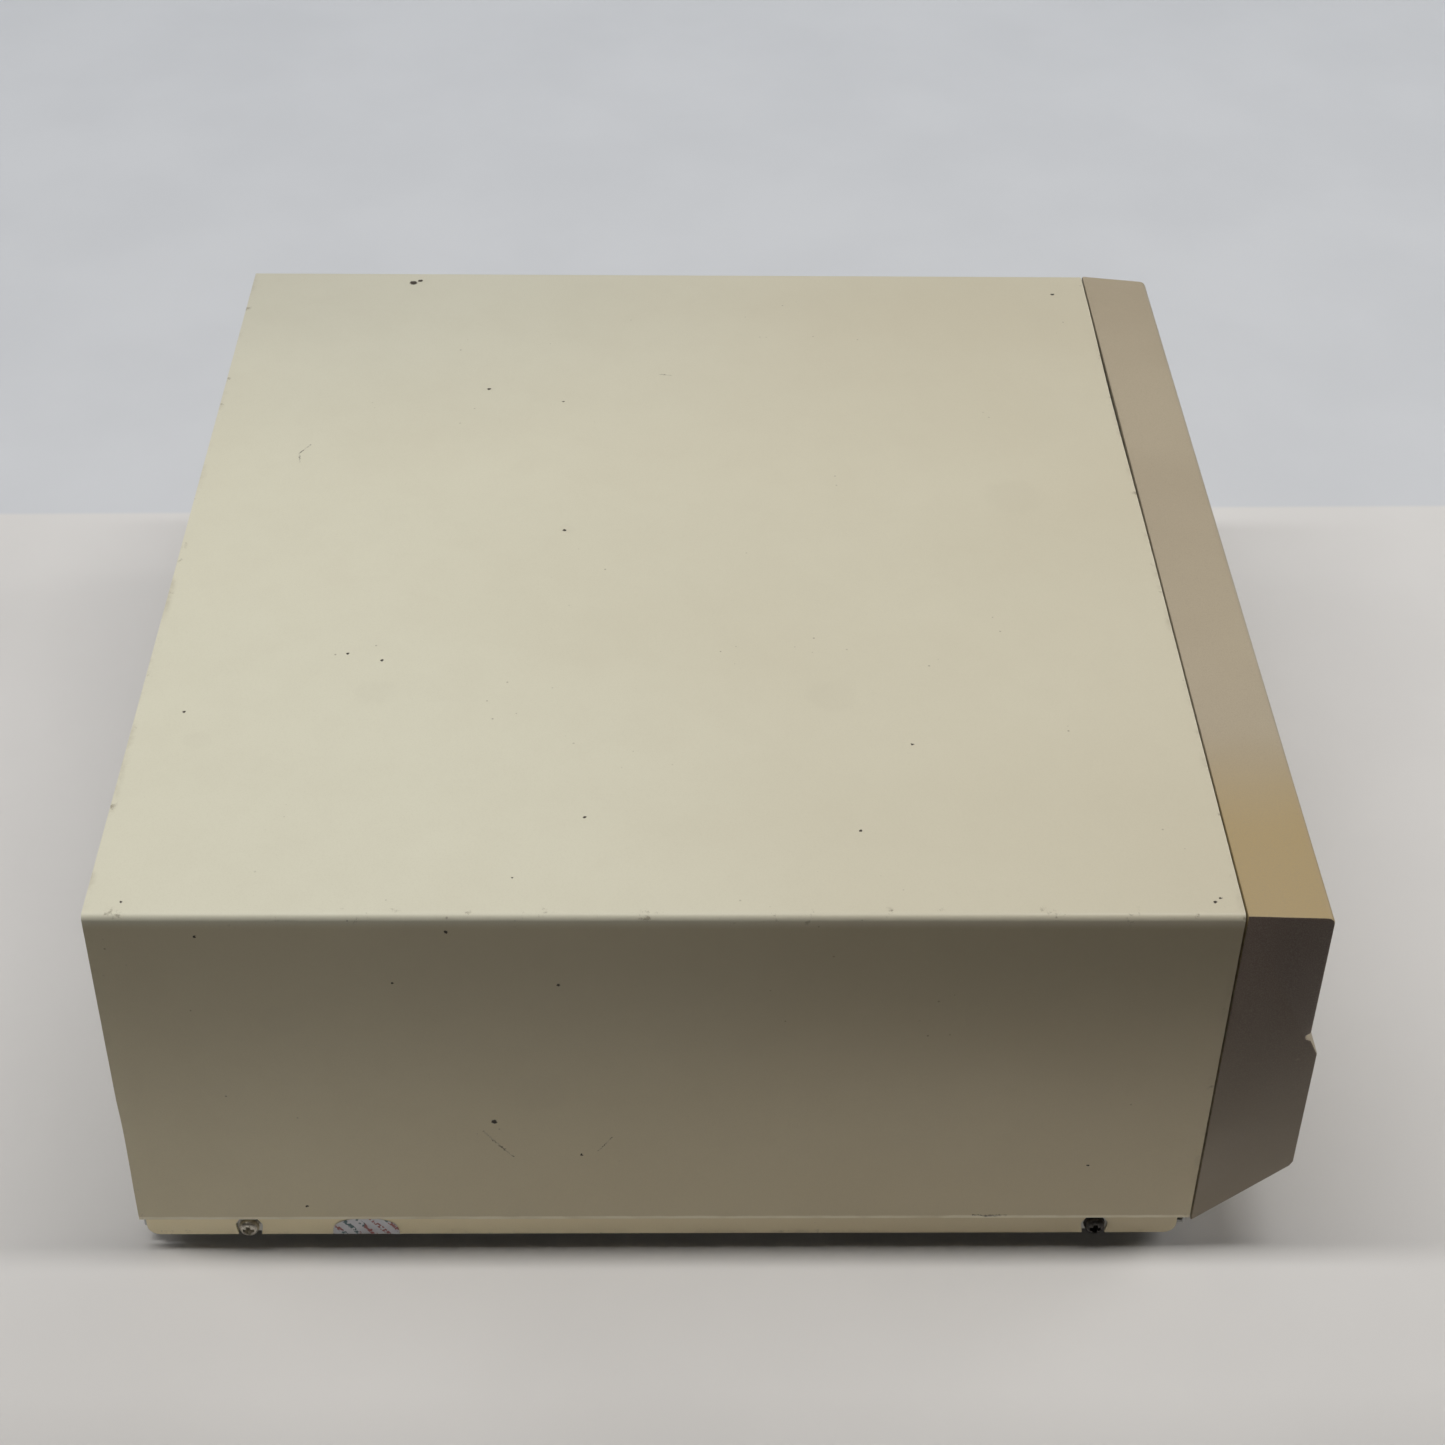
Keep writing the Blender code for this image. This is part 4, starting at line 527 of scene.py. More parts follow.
class Shape:
    """A mesh in the making, in metres: each method adds one closed form."""

    def __init__(self):
        self.bm = bmesh.new()

    def loft(self, rings):
        """Joins rings of as many points each, and closes both ends."""
        made = [[self.bm.verts.new(point) for point in ring] for ring in rings]
        for low, high in zip(made, made[1:]):
            for i in range(len(low)):
                j = (i + 1) % len(low)
                self.bm.faces.new((low[i], low[j], high[j], high[i]))
        self.bm.faces.new(made[0][::-1])
        self.bm.faces.new(made[-1])

    def prism(self, outline, axis, start, end):
        """An outline in the other two axes, drawn out along this one."""
        first, second, along = {"X": (1, 2, 0), "Y": (0, 2, 1), "Z": (0, 1, 2)}[axis]
        rings = []
        for place in (start, end):
            ring = [[0.0, 0.0, 0.0] for _ in outline]
            for corner, (p, q) in zip(ring, outline):
                corner[first], corner[second], corner[along] = p, q, place
            rings.append(ring)
        self.loft(rings)

    def block(self, x, y, z):
        self.prism([(x[0], y[0]), (x[1], y[0]), (x[1], y[1]), (x[0], y[1])], "Z", *z)

    def turn(self, profile, at, way, steps=28):
        """A turned form: the profile gives places along the axis and radii."""
        aim = Vector((0, 0, 1)).rotation_difference(Vector(way))
        at = Vector(at)
        angles = [2 * math.pi * i / steps for i in range(steps)]
        self.loft([[at + aim @ Vector((r * math.cos(a), r * math.sin(a), along)) for a in angles]
                   for along, r in profile])

    def cross(self, at, way, reach, half, depth):
        """The tapered cross of a screw's recess, sunk from its mouth."""
        aim = Vector((0, 0, 1)).rotation_difference(Vector(way))
        quarter = [(reach, -half), (reach, half), (half, half)]
        outline = [Matrix.Rotation(math.radians(90 * n), 2) @ Vector(p) for n in range(4) for p in quarter]
        self.loft([[Vector(at) + aim @ Vector((p.x * share, p.y * share, along)) for p in outline]
                   for along, share in ((-depth, 0.8), (0.0004, 1.03))])

    def minus(self, other):
        """Cuts another shape out of this one."""
        for shape in (self, other):
            bmesh.ops.recalc_face_normals(shape.bm, faces=shape.bm.faces)
        whole, cutter = mesh_object("form", self.bm), mesh_object("form", other.bm)
        cut = whole.modifiers.new("cut", "BOOLEAN")
        cut.object = cutter
        self.bm = bmesh.new()
        self.bm.from_object(whole, bpy.context.evaluated_depsgraph_get())
        for obj in (whole, cutter):
            bpy.data.objects.remove(obj)

    def become(self, name, finish, body="unit", edge=0.0, stands_for=(), slot=None):
        """Makes the piece, with rounded edges and smooth shading, and sets it on its body."""
        bmesh.ops.recalc_face_normals(self.bm, faces=self.bm.faces)
        dress(mesh_object(name, self.bm), finish, body, edge, stands_for)


def dress(obj, finish, body, edge=0.0, stands_for=()):
    """Gives a piece its material, rounded edges, smooth shading and body."""
    obj.data.materials.append(MATERIALS[finish])
    if edge:
        bevel = obj.modifiers.new("rounding", "BEVEL")
        bevel.width, bevel.segments = edge, 2
        bevel.limit_method = "ANGLE"
        bevel.angle_limit = math.radians(40)
    if obj.type == "MESH":
        obj.modifiers.new("smooth", "NODES").node_group = SMOOTH
    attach(obj, body)
    if stands_for:
        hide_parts(*stands_for)


def around(centre, size):
    return (centre - size / 2, centre + size / 2)


def middle(node):
    low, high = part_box(node)
    return (low + high) / 2


# ------------ cover pieces

# A cover screw's washer and head: places along its axis, and radii
HEAD = ((0.0003, 0.0019), (0.0003, 0.0038), (0.0004, 0.0039), (0.0009, 0.0039), (0.001, 0.0038),
        (0.001, 0.0034), (0.0013, 0.0036), (0.0021, 0.0036), (0.0027, 0.0034), (0.0032, 0.0031),
        (0.0036, 0.0025), (0.0039, 0.0017), (0.0041, 0.001))


def make_cover_screws():
    """Cross-recessed heads, each on its washer."""
    proud = HEAD[-1][0]
    for side, way in (("left", -1), ("right", 1)):
        for end in ("rear", "front"):
            node = f"cover_screw_{side}_{end}"
            low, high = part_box(node)
            face = low.x if way < 0 else high.x
            at = (face - way * proud, (low.y + high.y) / 2, (low.z + high.z) / 2)
            shape, recess = Shape(), Shape()
            shape.turn([(-0.0032, 0.0016), (-0.0028, 0.0019), *HEAD], at, (way, 0, 0), 40)
            recess.cross((face, at[1], at[2]), (way, 0, 0), 0.0021, 0.00085, 0.003)
            shape.minus(recess)
            finish = "dark_screw" if (side, end) == ("left", "front") else "bright_screw"
            shape.become(node + "_head", finish, edge=0.00008, stands_for=[node])


def make_seal():
    """The sticker over the lip's edge: creased, and lifting at its lower front corner."""
    low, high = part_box("tamper_seal")
    centre, half, rise = (low.y + high.y) / 2, (high.y - low.y) / 2, high.z - low.z
    columns, rows = 48, 14
    bm = bmesh.new()
    grid = []
    for i in range(columns + 1):
        across = math.cos(math.pi * i / columns)
        height = rise * max(0.0, 1 - across * across) ** 0.31
        column = []
        for j in range(rows + 1):
            up = j / rows
            y, z = centre + half * across, low.z + height * up
            crease = 0.00003 * math.sin(900 * y + 500 * z) + 0.00002 * math.sin(2100 * z - 700 * y)
            lift = 0.0003 * max(0.0, -across - 0.55) ** 2 * (1 - up) ** 2 * 5
            column.append(bm.verts.new((high.x - 0.0001 + crease - lift, y, z)))
        grid.append(column)
    for near, far in zip(grid, grid[1:]):
        for j in range(rows):
            bm.faces.new((near[j], near[j + 1], far[j + 1], far[j]))
    bmesh.ops.remove_doubles(bm, verts=bm.verts, dist=1e-6)
    sticker = mesh_object("tamper_sticker", bm)
    sticker.modifiers.new("paper", "SOLIDIFY").thickness = 0.00007
    dress(sticker, "seal_foil", "cover", stands_for=["tamper_seal"])


# ------------ front pieces

OUT, BACK, UP = (0, -1, 0), (0, 1, 0), (0, 0, 1)     # out of the bezel, out of the rear panel, upwards
BADGE_X, BADGE_TALL = (-0.064, -0.014), 0.011
# Drive, lens, place from its faceplate's lower corner, size, how far it stands out, and edge
LAMPS = (("floppy_525", "red_lens", 0.009, 0.0075, (0.006, 0.0026), 0.0006, 0.0004),
         ("floppy_35", "green_lens", 0.01, 0.0067, (0.0045, 0.0022), 0.0004, 0.0003))


def make_front_pieces():
    """The lock's ring, the blank badge plate, the drives' lamps and the lever's grip."""
    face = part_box("power_led")[0].y + 0.0004
    lock = middle("key_lock")
    centre = (lock.x, face, lock.z)
    ring, bore = Shape(), Shape()
    ring.turn([(-0.0004, 0.0072), (0.0004, 0.0078), (0.0009, 0.0076), (0.0011, 0.0071)], centre, OUT, 48)
    bore.turn([(-0.001, 0.0062), (0.0004, 0.0062), (0.0016, 0.0067)], centre, OUT, 48)
    ring.minus(bore)
    ring.become("lock_ring", "bright_screw")

    def badge(shape, inset, back, front):
        shape.block((BADGE_X[0] + inset, BADGE_X[1] - inset), (face - front, face + back),
                    around(lock.z, BADGE_TALL - 2 * inset))

    rim, inside, plate = Shape(), Shape(), Shape()
    badge(rim, 0.0, 0.0004, 0.0007)
    badge(inside, 0.0012, -0.0003, 0.001)
    badge(plate, 0.0015, -0.0001, 0.0005)
    rim.minus(inside)
    rim.become("badge_frame", "bezel_plastic", edge=0.0002)
    plate.become("badge_plate", "bracket_steel", edge=0.0001)

    for drive, finish, x, z, size, proud, edge in LAMPS:
        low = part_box(drive + "_faceplate")[0]
        lamp = Shape()
        lamp.block((low.x + x, low.x + x + size[0]), (low.y - proud, low.y + 0.001),
                   around(low.z + z, size[1]))
        lamp.become(drive + "_lamp", finish, edge=edge)
    low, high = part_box("floppy_525_faceplate")
    ribs = Shape()
    for z in (low.z + 0.0022, high.z - 0.0022):
        ribs.block((low.x + 0.003, high.x - 0.003), (low.y - 0.0003, low.y + 0.0003), around(z, 0.0008))
    ribs.become("floppy_525_ribs", "black_plastic", edge=0.0001)

    low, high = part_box("floppy_525_lever")
    grip = Shape()
    for n in range(5):
        x = high.x - 0.0035 - 0.0022 * n
        grip.block(around(x, 0.0009), (low.y - 0.0004, low.y + 0.001), around((low.z + high.z) / 2, 0.004))
    grip.become("lever_grip", "black_plastic", "floppy_lever", edge=0.0002)


# ------------ rear pieces

SOCKETS = (("video_card_bracket", 0.0785, 9, True), ("controller_card_bracket", 0.05345, 25, False),
           ("controller_card_bracket", 0.09845, 9, True))     # bracket, height, contacts, with pins
PIN_PITCH, ROW_APART = 0.00276, 0.00284
PIN = ((-0.0002, 0.0005), (0.0034, 0.0005), (0.0038, 0.0002))
HOLE = ((-0.0002, 0.0006), (0.00012, 0.0006), (0.00012, 0.0004))
FAN_AT, FAN_SCREW = (0.104, 0.096), 0.03575
SUPPLY_SCREWS = ((0.064, 0.026), (0.15, 0.026), (0.203, 0.026), (0.15, 0.14), (0.203, 0.14))
BRACKETS = ("slot_cover_1", "video_card_bracket", "slot_cover_3", "controller_card_bracket", "slot_cover_5")
PANEL_SCREWS = ((-0.208, 0.15), (-0.208, 0.045), (-0.085, 0.15), (0.04, 0.15), (0.04, 0.04))
INLET_PINS = ((-0.007, -0.001), (0.0, 0.002), (0.007, -0.001))      # from the inlet's middle


def screws(name, places, way, radius=0.0032, tall=0.0022, finish="bright_screw"):
    """Small pan heads, all one piece."""
    heads, recesses = Shape(), Shape()
    profile = [(-0.0006, radius * 0.94), (0.0, radius), (tall * 0.55, radius), (tall * 0.85, radius * 0.85),
               (tall, radius * 0.5)]
    for at in places:
        heads.turn(profile, at, way, 24)
        recesses.cross(Vector(at) + Vector(way) * tall, way, radius * 0.52, radius * 0.13, tall * 0.55)
    heads.minus(recesses)
    heads.become(name, finish, edge=0.00006)


def make_rear_sockets():
    """Insulators, contacts and jack screws of the D-shaped sockets, and the keyboard socket's inside."""
    insulator, contacts, jacks = Shape(), Shape(), Shape()
    for bracket, z, count, pins in SOCKETS:
        low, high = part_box(bracket)
        x, plate, mouth = (low.x + high.x) / 2, high.y - 0.0068, high.y - 0.0058
        long_row = (count + 1) // 2
        half = (long_row - 1) * PIN_PITCH / 2 + 0.0022
        front = mouth + (0.001 if pins else 0.004)
        insulator.block(around(x, 0.0058), (mouth - 0.0002, front), (z - half, z + half))
        for row, many in ((1, long_row), (-1, count - long_row)):
            for n in range(many):
                at = (x + row * ROW_APART / 2, front, z + (n - (many - 1) / 2) * PIN_PITCH)
                contacts.turn(PIN if pins else HOLE, at, BACK, 10)
        for way in (-1, 1):
            at = (x, plate, z + way * (half + 0.0065))
            jacks.turn([(0.0, 0.0028), (0.0042, 0.0028), (0.0048, 0.0024)], at, BACK, 6)
            jacks.turn([(0.0047, 0.0018), (0.0052, 0.0018)], at, BACK, 20)
    insulator.become("socket_insulators", "black_plastic", edge=0.0002)
    contacts.become("socket_contacts", "contact_gold", slot="bright_screw")
    jacks.become("jack_screws", "bracket_steel", edge=0.0001)

    low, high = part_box("keyboard_socket")
    x, z, floor = (low.x + high.x) / 2, 0.0265, high.y - 0.01
    disc, holes = Shape(), Shape()
    disc.turn([(0.0, 0.0066), (0.0034, 0.0066), (0.0038, 0.0062)], (x, floor, z), BACK, 40)
    ring = 0.0038
    for n in range(5):
        turn = math.radians(180 + 45 * n)
        at = (x + ring * math.cos(turn), floor, z + ring * math.sin(turn))
        holes.turn([(0.001, 0.0007), (0.005, 0.0007)], at, BACK, 14)
    disc.minus(holes)
    disc.become("keyboard_contacts", "beige_plastic", edge=0.0001)
    shell, bore = Shape(), Shape()
    shell.turn([(0.0, 0.00695), (0.0095, 0.00695)], (x, floor, z), BACK, 40)
    bore.turn([(-0.001, 0.0066), (0.0105, 0.0066)], (x, floor, z), BACK, 40)
    shell.minus(bore)
    shell.become("keyboard_shell", "bracket_steel")


def make_rear_pieces():
    """Everything that fastens or connects at the back."""
    make_rear_sockets()
    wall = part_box("power_supply_base")[1].y
    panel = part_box("rear_panel")[1].y
    fan = [(FAN_AT[0] + a * FAN_SCREW, wall, FAN_AT[1] + b * FAN_SCREW) for a in (-1, 1) for b in (-1, 1)]
    screws("fan_screws", fan, BACK, 0.0034, 0.002, "dark_screw")
    screws("supply_screws", [(x, wall, z) for x, z in SUPPLY_SCREWS], BACK, 0.0032, 0.0022)
    screws("panel_screws", [(x, panel, z) for x, z in PANEL_SCREWS], BACK, 0.0034, 0.0024)
    heads = [(middle(node).x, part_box(node)[0].y + 0.0052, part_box(node)[1].z) for node in BRACKETS]
    screws("bracket_screws", heads, UP, 0.0034, 0.0026)

    blades = Shape()
    inlet = middle("mains_inlet")
    for x, z in INLET_PINS:
        blades.block(around(inlet.x + x, 0.0022), (wall - 0.015, wall - 0.0004), around(inlet.z + z, 0.0042))
    blades.become("inlet_blades", "bracket_steel", edge=0.0004)
    mark = Shape()
    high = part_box("power_switch")[1]
    mark.block(around(middle("power_switch").x, 0.0008), (high.y - 0.0012, high.y + 0.00012),
               around(high.z - 0.0028, 0.0034))
    mark.become("switch_mark", "label_paper", "power_switch", slot="seal_foil")


# ------------ pieces inside the case

BOARD_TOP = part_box("motherboard")[0].z + 0.0016
PROUD = 0.00015                   # how far a finer piece stands out of the plain form inside it
PITCH = 0.00254                   # between a chip's legs; half as much where they are on all four sides
BANK_Y = (-0.124, -0.032)
BANK_X = [-0.032 + 0.01 * n for n in range(4)]
CHIP_GRID = [(column, -0.19 + 0.026 * column, -0.118 + 0.03 * row) for row in range(4)
             for column in range(5)]
CANS = ((0.004, 0.13, 0.004), (0.004, 0.142, 0.004), (0.004, 0.154, 0.004),
        (0.005, 0.168, 0.0032), (-0.033, 0.13, 0.0032), (-0.033, 0.142, 0.0032))    # place, radius
CARD_CHIPS = {                    # each chip's lower rear corner on its card, and its size
    "video_card": [(0.06 + 0.034 * i, 0.04 + 0.024 * j, 0.024, 0.009) for i in range(4) for j in range(3)],
    "controller_card": [(0.06, 0.05, 0.028, 0.028), (0.1, 0.05, 0.028, 0.028),
                        (0.145, 0.06, 0.024, 0.009), (0.06, 0.092, 0.024, 0.009),
                        (0.095, 0.092, 0.024, 0.009), (0.145, 0.085, 0.024, 0.009)]}


def chip(body, legs, x, y, z, sides="X"):
    """A chip's moulded body, and its legs along the sides that face the named axes."""
    body.block((x[0] - PROUD, x[1] + PROUD), (y[0] - PROUD, y[1] + PROUD), (z[0], z[1] + PROUD))
    pitch = PITCH if sides == "X" else PITCH / 2
    foot = (z[0], z[0] + 0.55 * (z[1] - z[0]))
    for side in sides:
        faces, run = (x, y) if side == "X" else (y, x)
        count = int((run[1] - run[0]) / pitch)
        for n in range(count):
            place = around((run[0] + run[1]) / 2 + (n - (count - 1) / 2) * pitch, 0.0005)
            for edge, way in ((faces[0], -1), (faces[1], 1)):
                reach = sorted((edge, edge + way * 0.0008))
                legs.block(*((reach, place) if side == "X" else (place, reach)), foot)


def make_board_pieces():
    """Chips, sockets and small parts on the main board."""
    body, legs, rails = Shape(), Shape(), Shape()
    for _, x, y in CHIP_GRID:
        chip(body, legs, around(x, 0.009), around(y, 0.024), (BOARD_TOP, BOARD_TOP + 0.0035))
    for x, y in ((-0.045, 0.01), (-0.045, 0.055), (-0.005, 0.1)):
        chip(body, legs, around(x, 0.029), around(y, 0.029), (BOARD_TOP, BOARD_TOP + 0.003), "XY")
    chip(body, legs, around(-0.045, 0.012), around(0.105, 0.036), (BOARD_TOP, BOARD_TOP + 0.005))
    body.become("board_chips", "black_plastic", edge=0.0003)

    for x in BANK_X:
        for side in (-1, 1):
            rails.block(around(x + side * 0.003, 0.0036), (BANK_Y[0] - PROUD, BANK_Y[1] + PROUD),
                        (BOARD_TOP, BOARD_TOP + 0.0063 + PROUD))
            legs.block(around(x + side * 0.001, 0.0002), (BANK_Y[0] + 0.003, BANK_Y[1] - 0.003),
                       (BOARD_TOP + 0.003, BOARD_TOP + 0.0064))
    for n in range(11):
        y = 0.122 + 0.0056 * n
        rails.block(around(-0.02, 0.008 + 2 * PROUD), around(y, 0.0048),
                    (BOARD_TOP + 0.0006, BOARD_TOP + 0.01012))
        legs.block(around(-0.02, 0.0012), around(y, 0.0012), (BOARD_TOP + 0.009, BOARD_TOP + 0.0103))
    rails.become("board_sockets", "beige_plastic", edge=0.0003)
    for n in range(5):
        low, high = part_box(f"expansion_slot_{n + 1}")
        for k in range(31):
            y = (low.y + high.y) / 2 + (k - 15) * 0.004
            for side in (-1, 1):
                legs.block(around((low.x + high.x) / 2 + side * 0.0011, 0.0005), around(y, 0.0016),
                           (low.z + 0.004, high.z - 0.0006))
    legs.become("board_contacts", "contact_gold", slot="bright_screw")

    cans, tops, discs = Shape(), Shape(), Shape()
    for x, y, radius in CANS:
        at = (x, y, BOARD_TOP)
        cans.turn([(0.0, radius), (0.0095, radius), (0.01, radius * 0.93)], at, UP, 20)
        tops.turn([(0.01, radius * 0.88), (0.0102, radius * 0.84)], at, UP, 20)
    for x, y in ((-0.07, -0.07), (-0.016, 0.066)):
        tops.block(around(x, 0.0048), around(y, 0.0112), (BOARD_TOP, BOARD_TOP + 0.0036))
    for column, x, y in CHIP_GRID:
        discs.turn([(0.0, 0.0011), (0.0006, 0.0019), (0.0014, 0.0019), (0.002, 0.0011)],
                   (x + 0.009, y - 0.001, BOARD_TOP + 0.0022), BACK, 14)
        if column % 2:
            discs.turn([(0.0, 0.0006), (0.0008, 0.001), (0.0052, 0.001), (0.006, 0.0006)],
                       (x + 0.0132, y - 0.008, BOARD_TOP + 0.0011), BACK, 10)
    cans.become("board_capacitors", "battery_sleeve", edge=0.0002)
    tops.become("board_cans", "bracket_steel", edge=0.0003)
    discs.become("board_discs", "disc_ochre", slot="battery_sleeve")


def make_card_pieces():
    """Chips and edge contacts of the two cards and the memory modules."""
    body, legs = Shape(), Shape()
    for card, chips in CARD_CHIPS.items():
        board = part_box(card)[0].x + 0.0016
        for y, z, wide, tall in chips:
            body.block((board, board + 0.0032 + PROUD), (y - PROUD, y + wide + PROUD),
                       (z - PROUD, z + tall + PROUD))
            for n in range(int(wide / PITCH)):
                for edge, way in ((z, -1), (z + tall, 1)):
                    legs.block((board, board + 0.0018), around(y + 0.0018 + n * PITCH, 0.0005),
                               sorted((edge, edge + way * 0.0009)))
    for n in (1, 2):
        low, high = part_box(f"memory_module_{n}")
        for c in range(9):
            y = BANK_Y[0] + 0.006 + 0.0092 * c
            body.block((low.x + 0.0013, high.x + PROUD), (y - PROUD, y + 0.0074 + PROUD),
                       (low.z + 0.0055 - PROUD, low.z + 0.0165 + PROUD))
    body.become("card_chips", "black_plastic", edge=0.0002)
    legs.become("card_contacts", "contact_gold", slot="bright_screw")
    lid = Shape()
    low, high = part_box("processor")
    lid.block(around((low.x + high.x) / 2, 0.0236), around((low.y + high.y) / 2, 0.0236),
              (high.z - 0.0004, high.z + 0.00025))
    lid.become("processor_lid", "contact_gold", edge=0.00012, slot="bright_screw")


def make_case_pieces():
    """Stiffening beads, screws and a blank label on the sheet metal inside, and the cables' connectors."""
    cage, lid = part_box("drive_cage"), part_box("power_supply_lid")
    beads = Shape()
    rows = [(cage, x, 0.004, 0.0022, 0.0012, 0.016)
            for x in (cage[0].x + 0.03, (cage[0].x + cage[1].x) / 2, cage[1].x - 0.03)]
    rows += [(lid, x, 0.0035, 0.002, 0.001, 0.018) for x in (lid[0].x + 0.025, lid[1].x - 0.025)]
    for (low, high), x, foot, crest, tall, inset in rows:
        root = high.z - 0.0002
        bead = [(x - foot, root), (x + foot, root), (x + crest, high.z + tall), (x - crest, high.z + tall)]
        beads.prism(bead, "Y", low.y + inset, high.y - inset)
    beads.become("sheet_beads", "chassis_steel", edge=0.0005)
    corners = [(x, y, high.z) for low, high in (cage, lid) for x in (low.x + 0.01, high.x - 0.01)
               for y in (low.y + 0.01, high.y - 0.01)]
    screws("case_screws", corners, UP, 0.003, 0.0018)
    label = Shape()
    centre = (lid[0] + lid[1]) / 2
    label.block(around(centre.x, 0.07), around(centre.y, 0.05), (lid[1].z + 0.00002, lid[1].z + 0.00014))
    label.become("supply_label", "label_paper", slot="seal_foil")

    plugs = Shape()
    card_x, card_end = middle("controller_card").x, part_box("controller_card")[0].y
    ribbons = (("floppy_ribbon", 0.136, (0.003, 0.013)), ("disk_ribbon", 0.128, (-0.0035, 0.0065)))
    for node, x, y in ribbons:
        low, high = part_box(node)
        tall = (low.z - 0.0012, high.z + 0.0012)
        plugs.block(around(x, 0.0068), y, tall)
        plugs.block(around(card_x, 0.0068), (card_end - 0.01, card_end - 0.0004), tall)
    plugs.block(around(0.174, 0.022), (-0.0036, 0.011), around(0.032, 0.009))
    plugs.become("cable_plugs", "black_plastic", edge=0.0004)


LOOM = ((0.185, 0.0516, 0.09), (0.185, 0.044, 0.088), (0.185, 0.04, 0.074),
        (0.185, 0.039, 0.056), (0.182, 0.032, 0.04), (0.176, 0.016, 0.033),
        (0.174, 0.002, 0.032))
WIRES = (("yellow", 0.0), ("black", 90.0), ("red", 180.0), ("black", 270.0))    # insulation, degrees of turn
WIRE, WIRE_OUT = 0.00095, 0.0016    # a wire's radius, and its distance from the loom's middle


def make_loom():
    """The drives' supply wires, laid side by side with a slow twist along the loom's route."""
    wires = {}
    for colour, start in WIRES:
        if colour not in wires:
            data = bpy.data.curves.new("loom_" + colour, "CURVE")
            data.dimensions = "3D"
            data.bevel_depth, data.bevel_resolution, data.use_fill_caps = WIRE, 3, True
            wires[colour] = data
        spline = wires[colour].splines.new("BEZIER")
        spline.bezier_points.add(len(LOOM) - 1)
        for i, (knot, place) in enumerate(zip(spline.bezier_points, LOOM)):
            turn = math.radians(start + 45 + 25 * i)
            side, across = WIRE_OUT * math.cos(turn), WIRE_OUT * math.sin(turn)
            upright = min(1.0, max(0.0, (place[1] - 0.01) / 0.03))
            knot.co = Vector(place) + Vector((side, across * upright, across * (1 - upright)))
            knot.handle_left_type = knot.handle_right_type = "AUTO"
    for colour, data in wires.items():
        strand = link(bpy.data.objects.new("loom_" + colour, data))
        stands_for = ["power_loom"] if colour == "black" else ()
        dress(strand, "wire_" + colour, "unit", stands_for=stands_for)


def make_pieces():
    make_cover_screws()
    make_seal()
    make_front_pieces()
    make_rear_pieces()
    make_board_pieces()
    make_card_pieces()
    make_case_pieces()
    make_loom()


# ------------ stage

def ground_material():
    """A pale table, and the bluish ground beyond its far edge."""
    s = Shader("looks_ground")
    edge = s.plus(s.times(s.x, math.cos(TABLE_EDGE_TURN)), s.times(s.y, math.sin(TABLE_EDGE_TURN)))
    beyond = s.step(edge, TABLE_EDGE, TABLE_EDGE + 0.004)
    cloth = s.noise(8.0, detail=4.0)
    table = s.mix(s.step(cloth, 0.3, 0.7), (0.685, 0.677, 0.672), (0.66, 0.652, 0.647))
    far = s.mix(s.step(cloth, 0.3, 0.7), (0.6, 0.62, 0.655), (0.575, 0.595, 0.63))
    return s.finish(s.mix(beyond, table, far), 0.85, s.bump(s.noise(1400), 0.1, 0.0001),
                    Specular_IOR_Level=0.2)


def make_stage():
    """The ground, which curves up into a wall far around the object."""
    flat, curve, wall, steps, around_steps = 5.2, 1.6, 3.6, 10, 96
    profile = [(flat, 0.0)]
    for i in range(1, steps + 1):
        turn = math.radians(90 * i / steps)
        profile.append((flat + curve * math.sin(turn), curve * (1 - math.cos(turn))))
    profile.append((flat + curve, wall))
    bm = bmesh.new()
    rings = []
    for radius, height in profile:
        angles = [2 * math.pi * i / around_steps for i in range(around_steps)]
        rings.append([bm.verts.new((radius * math.cos(a), radius * math.sin(a), height)) for a in angles])
    for low, high in zip(rings, rings[1:]):
        for i in range(around_steps):
            j = (i + 1) % around_steps
            bm.faces.new((low[i], low[j], high[j], high[i])).smooth = True
    bm.faces.new(rings[0])
    ground = mesh_object("ground", bm)
    ground.data.materials.append(ground_material())


def make_flag():
    """A black card under the lamp that shades the ground on the camera's side; only its shadow is seen."""
    near, far, half, height = -1.75, -0.244, 2.5, 1.2
    bm = bmesh.new()
    corners = ((near, -half), (far, -half), (far, half), (near, half))
    bm.faces.new([bm.verts.new((x, y, height)) for x, y in corners])
    flag = mesh_object("flag", bm)
    flag.data.materials.append(Shader("looks_flag").finish((0.02, 0.02, 0.02), 0.9))
    flag.visible_camera = False
    flag.visible_glossy = False


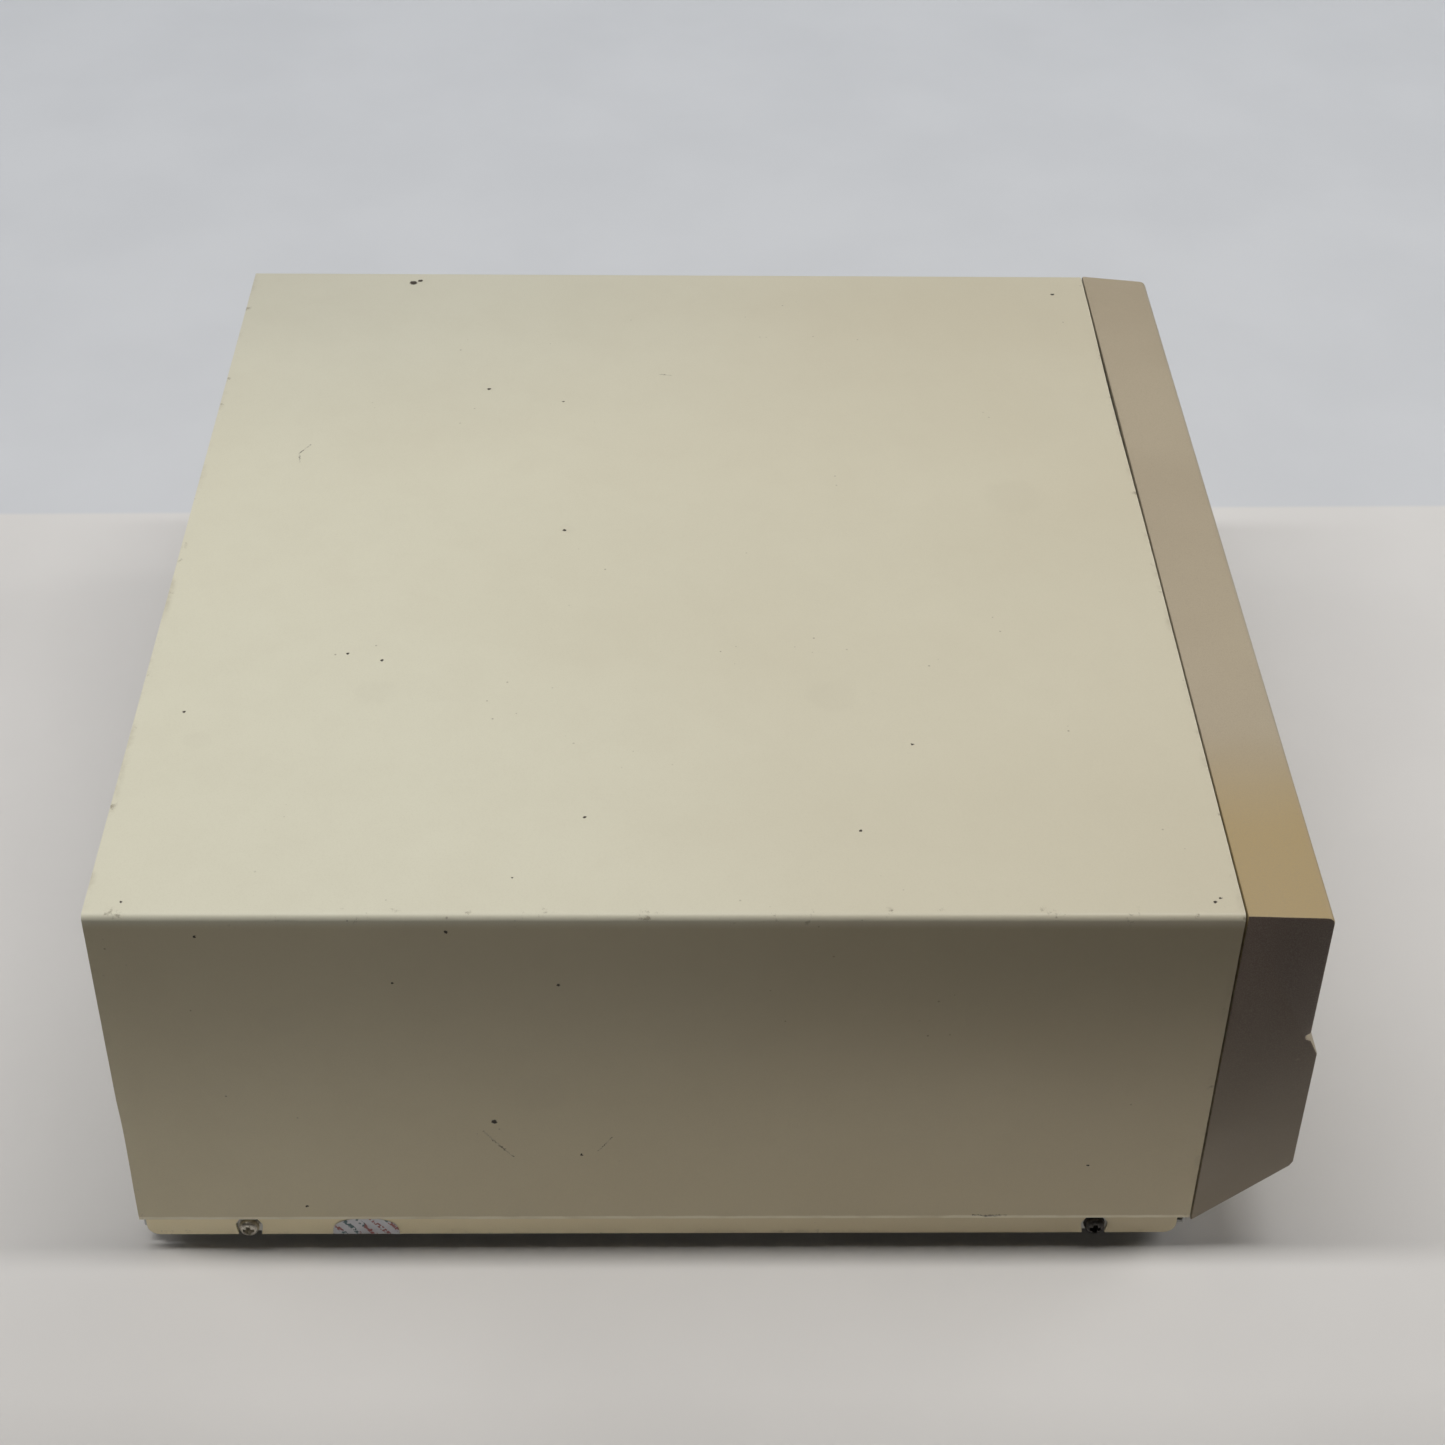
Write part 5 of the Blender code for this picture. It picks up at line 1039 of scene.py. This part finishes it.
def area_light(name, place, size, power, colour, target=None, spread=180.0):
    """A rectangular lamp that points at its target, or straight down."""
    data = bpy.data.lights.new(name, "AREA")
    data.shape = "RECTANGLE"
    data.size, data.size_y = size
    data.energy = power
    data.color = colour
    data.spread = math.radians(spread)
    light = link(bpy.data.objects.new(name, data))
    light.location = place
    way = Vector(target or (place[0], place[1], 0.0)) - Vector(place)
    light.rotation_euler = way.to_track_quat("-Z", "Y").to_euler()


def make_light():
    """A long lamp above, a soft one behind, fills at the front and rear, and far lamps for the ground."""
    white, cool, warm = (1.0, 0.98, 0.95), (0.97, 0.985, 1.0), (1.0, 0.96, 0.88)
    world = bpy.data.worlds.new("room")
    world.use_nodes = True
    background = world.node_tree.nodes["Background"]
    background.inputs["Color"].default_value = (1.0, 0.88, 0.72, 1.0)
    background.inputs["Strength"].default_value = 0.02
    bpy.context.scene.world = world
    area_light("overhead", (-0.171, 0.19, 1.75), (0.11, 2.3), 25.4, white)
    area_light("beyond", (1.45, 0.0, 1.6), (1.6, 2.4), 6.6, cool, spread=90.0)
    for name, y, power in (("front", -1.7, 11.0), ("rear", 1.7, 6.0)):
        area_light(name, (0.3, y, 0.95), (0.9, 0.7), power, white, (0.3, 0.0, 0.0))
    area_light("low", (-0.66, 0.17, 0.1), (0.9, 0.08), 0.15, warm, (-0.2, 0.17, 0.0))
    for name, x, y in (("left", -3.4, 0.0), ("near", 0.0, -3.4), ("back", 0.0, 3.4), ("right", 4.4, 0.0)):
        area_light("far_" + name, (x, y, 2.6), (2.2, 2.2), 19.0, (1.0, 0.99, 0.97), spread=60.0)
    make_flag()
    bpy.context.scene.view_settings.view_transform = "Standard"


def make_camera():
    data = bpy.data.cameras.new("camera")
    data.lens, data.sensor_width = LENS, SENSOR
    camera = bpy.data.objects.new("camera", data)
    turn = Matrix.Rotation(math.radians(CAMERA_TURN - 90), 4, "Z")
    tilt = Matrix.Rotation(math.radians(90 - CAMERA_DOWN), 4, "X")
    roll = Matrix.Rotation(math.radians(CAMERA_ROLL), 4, "Z")
    camera.matrix_world = Matrix.Translation(CAMERA_AT) @ turn @ tilt @ roll
    link(camera)
    bpy.context.scene.camera = camera


def main():
    dress_nodes()
    make_pieces()
    make_stage()
    make_light()
    make_camera()


main()
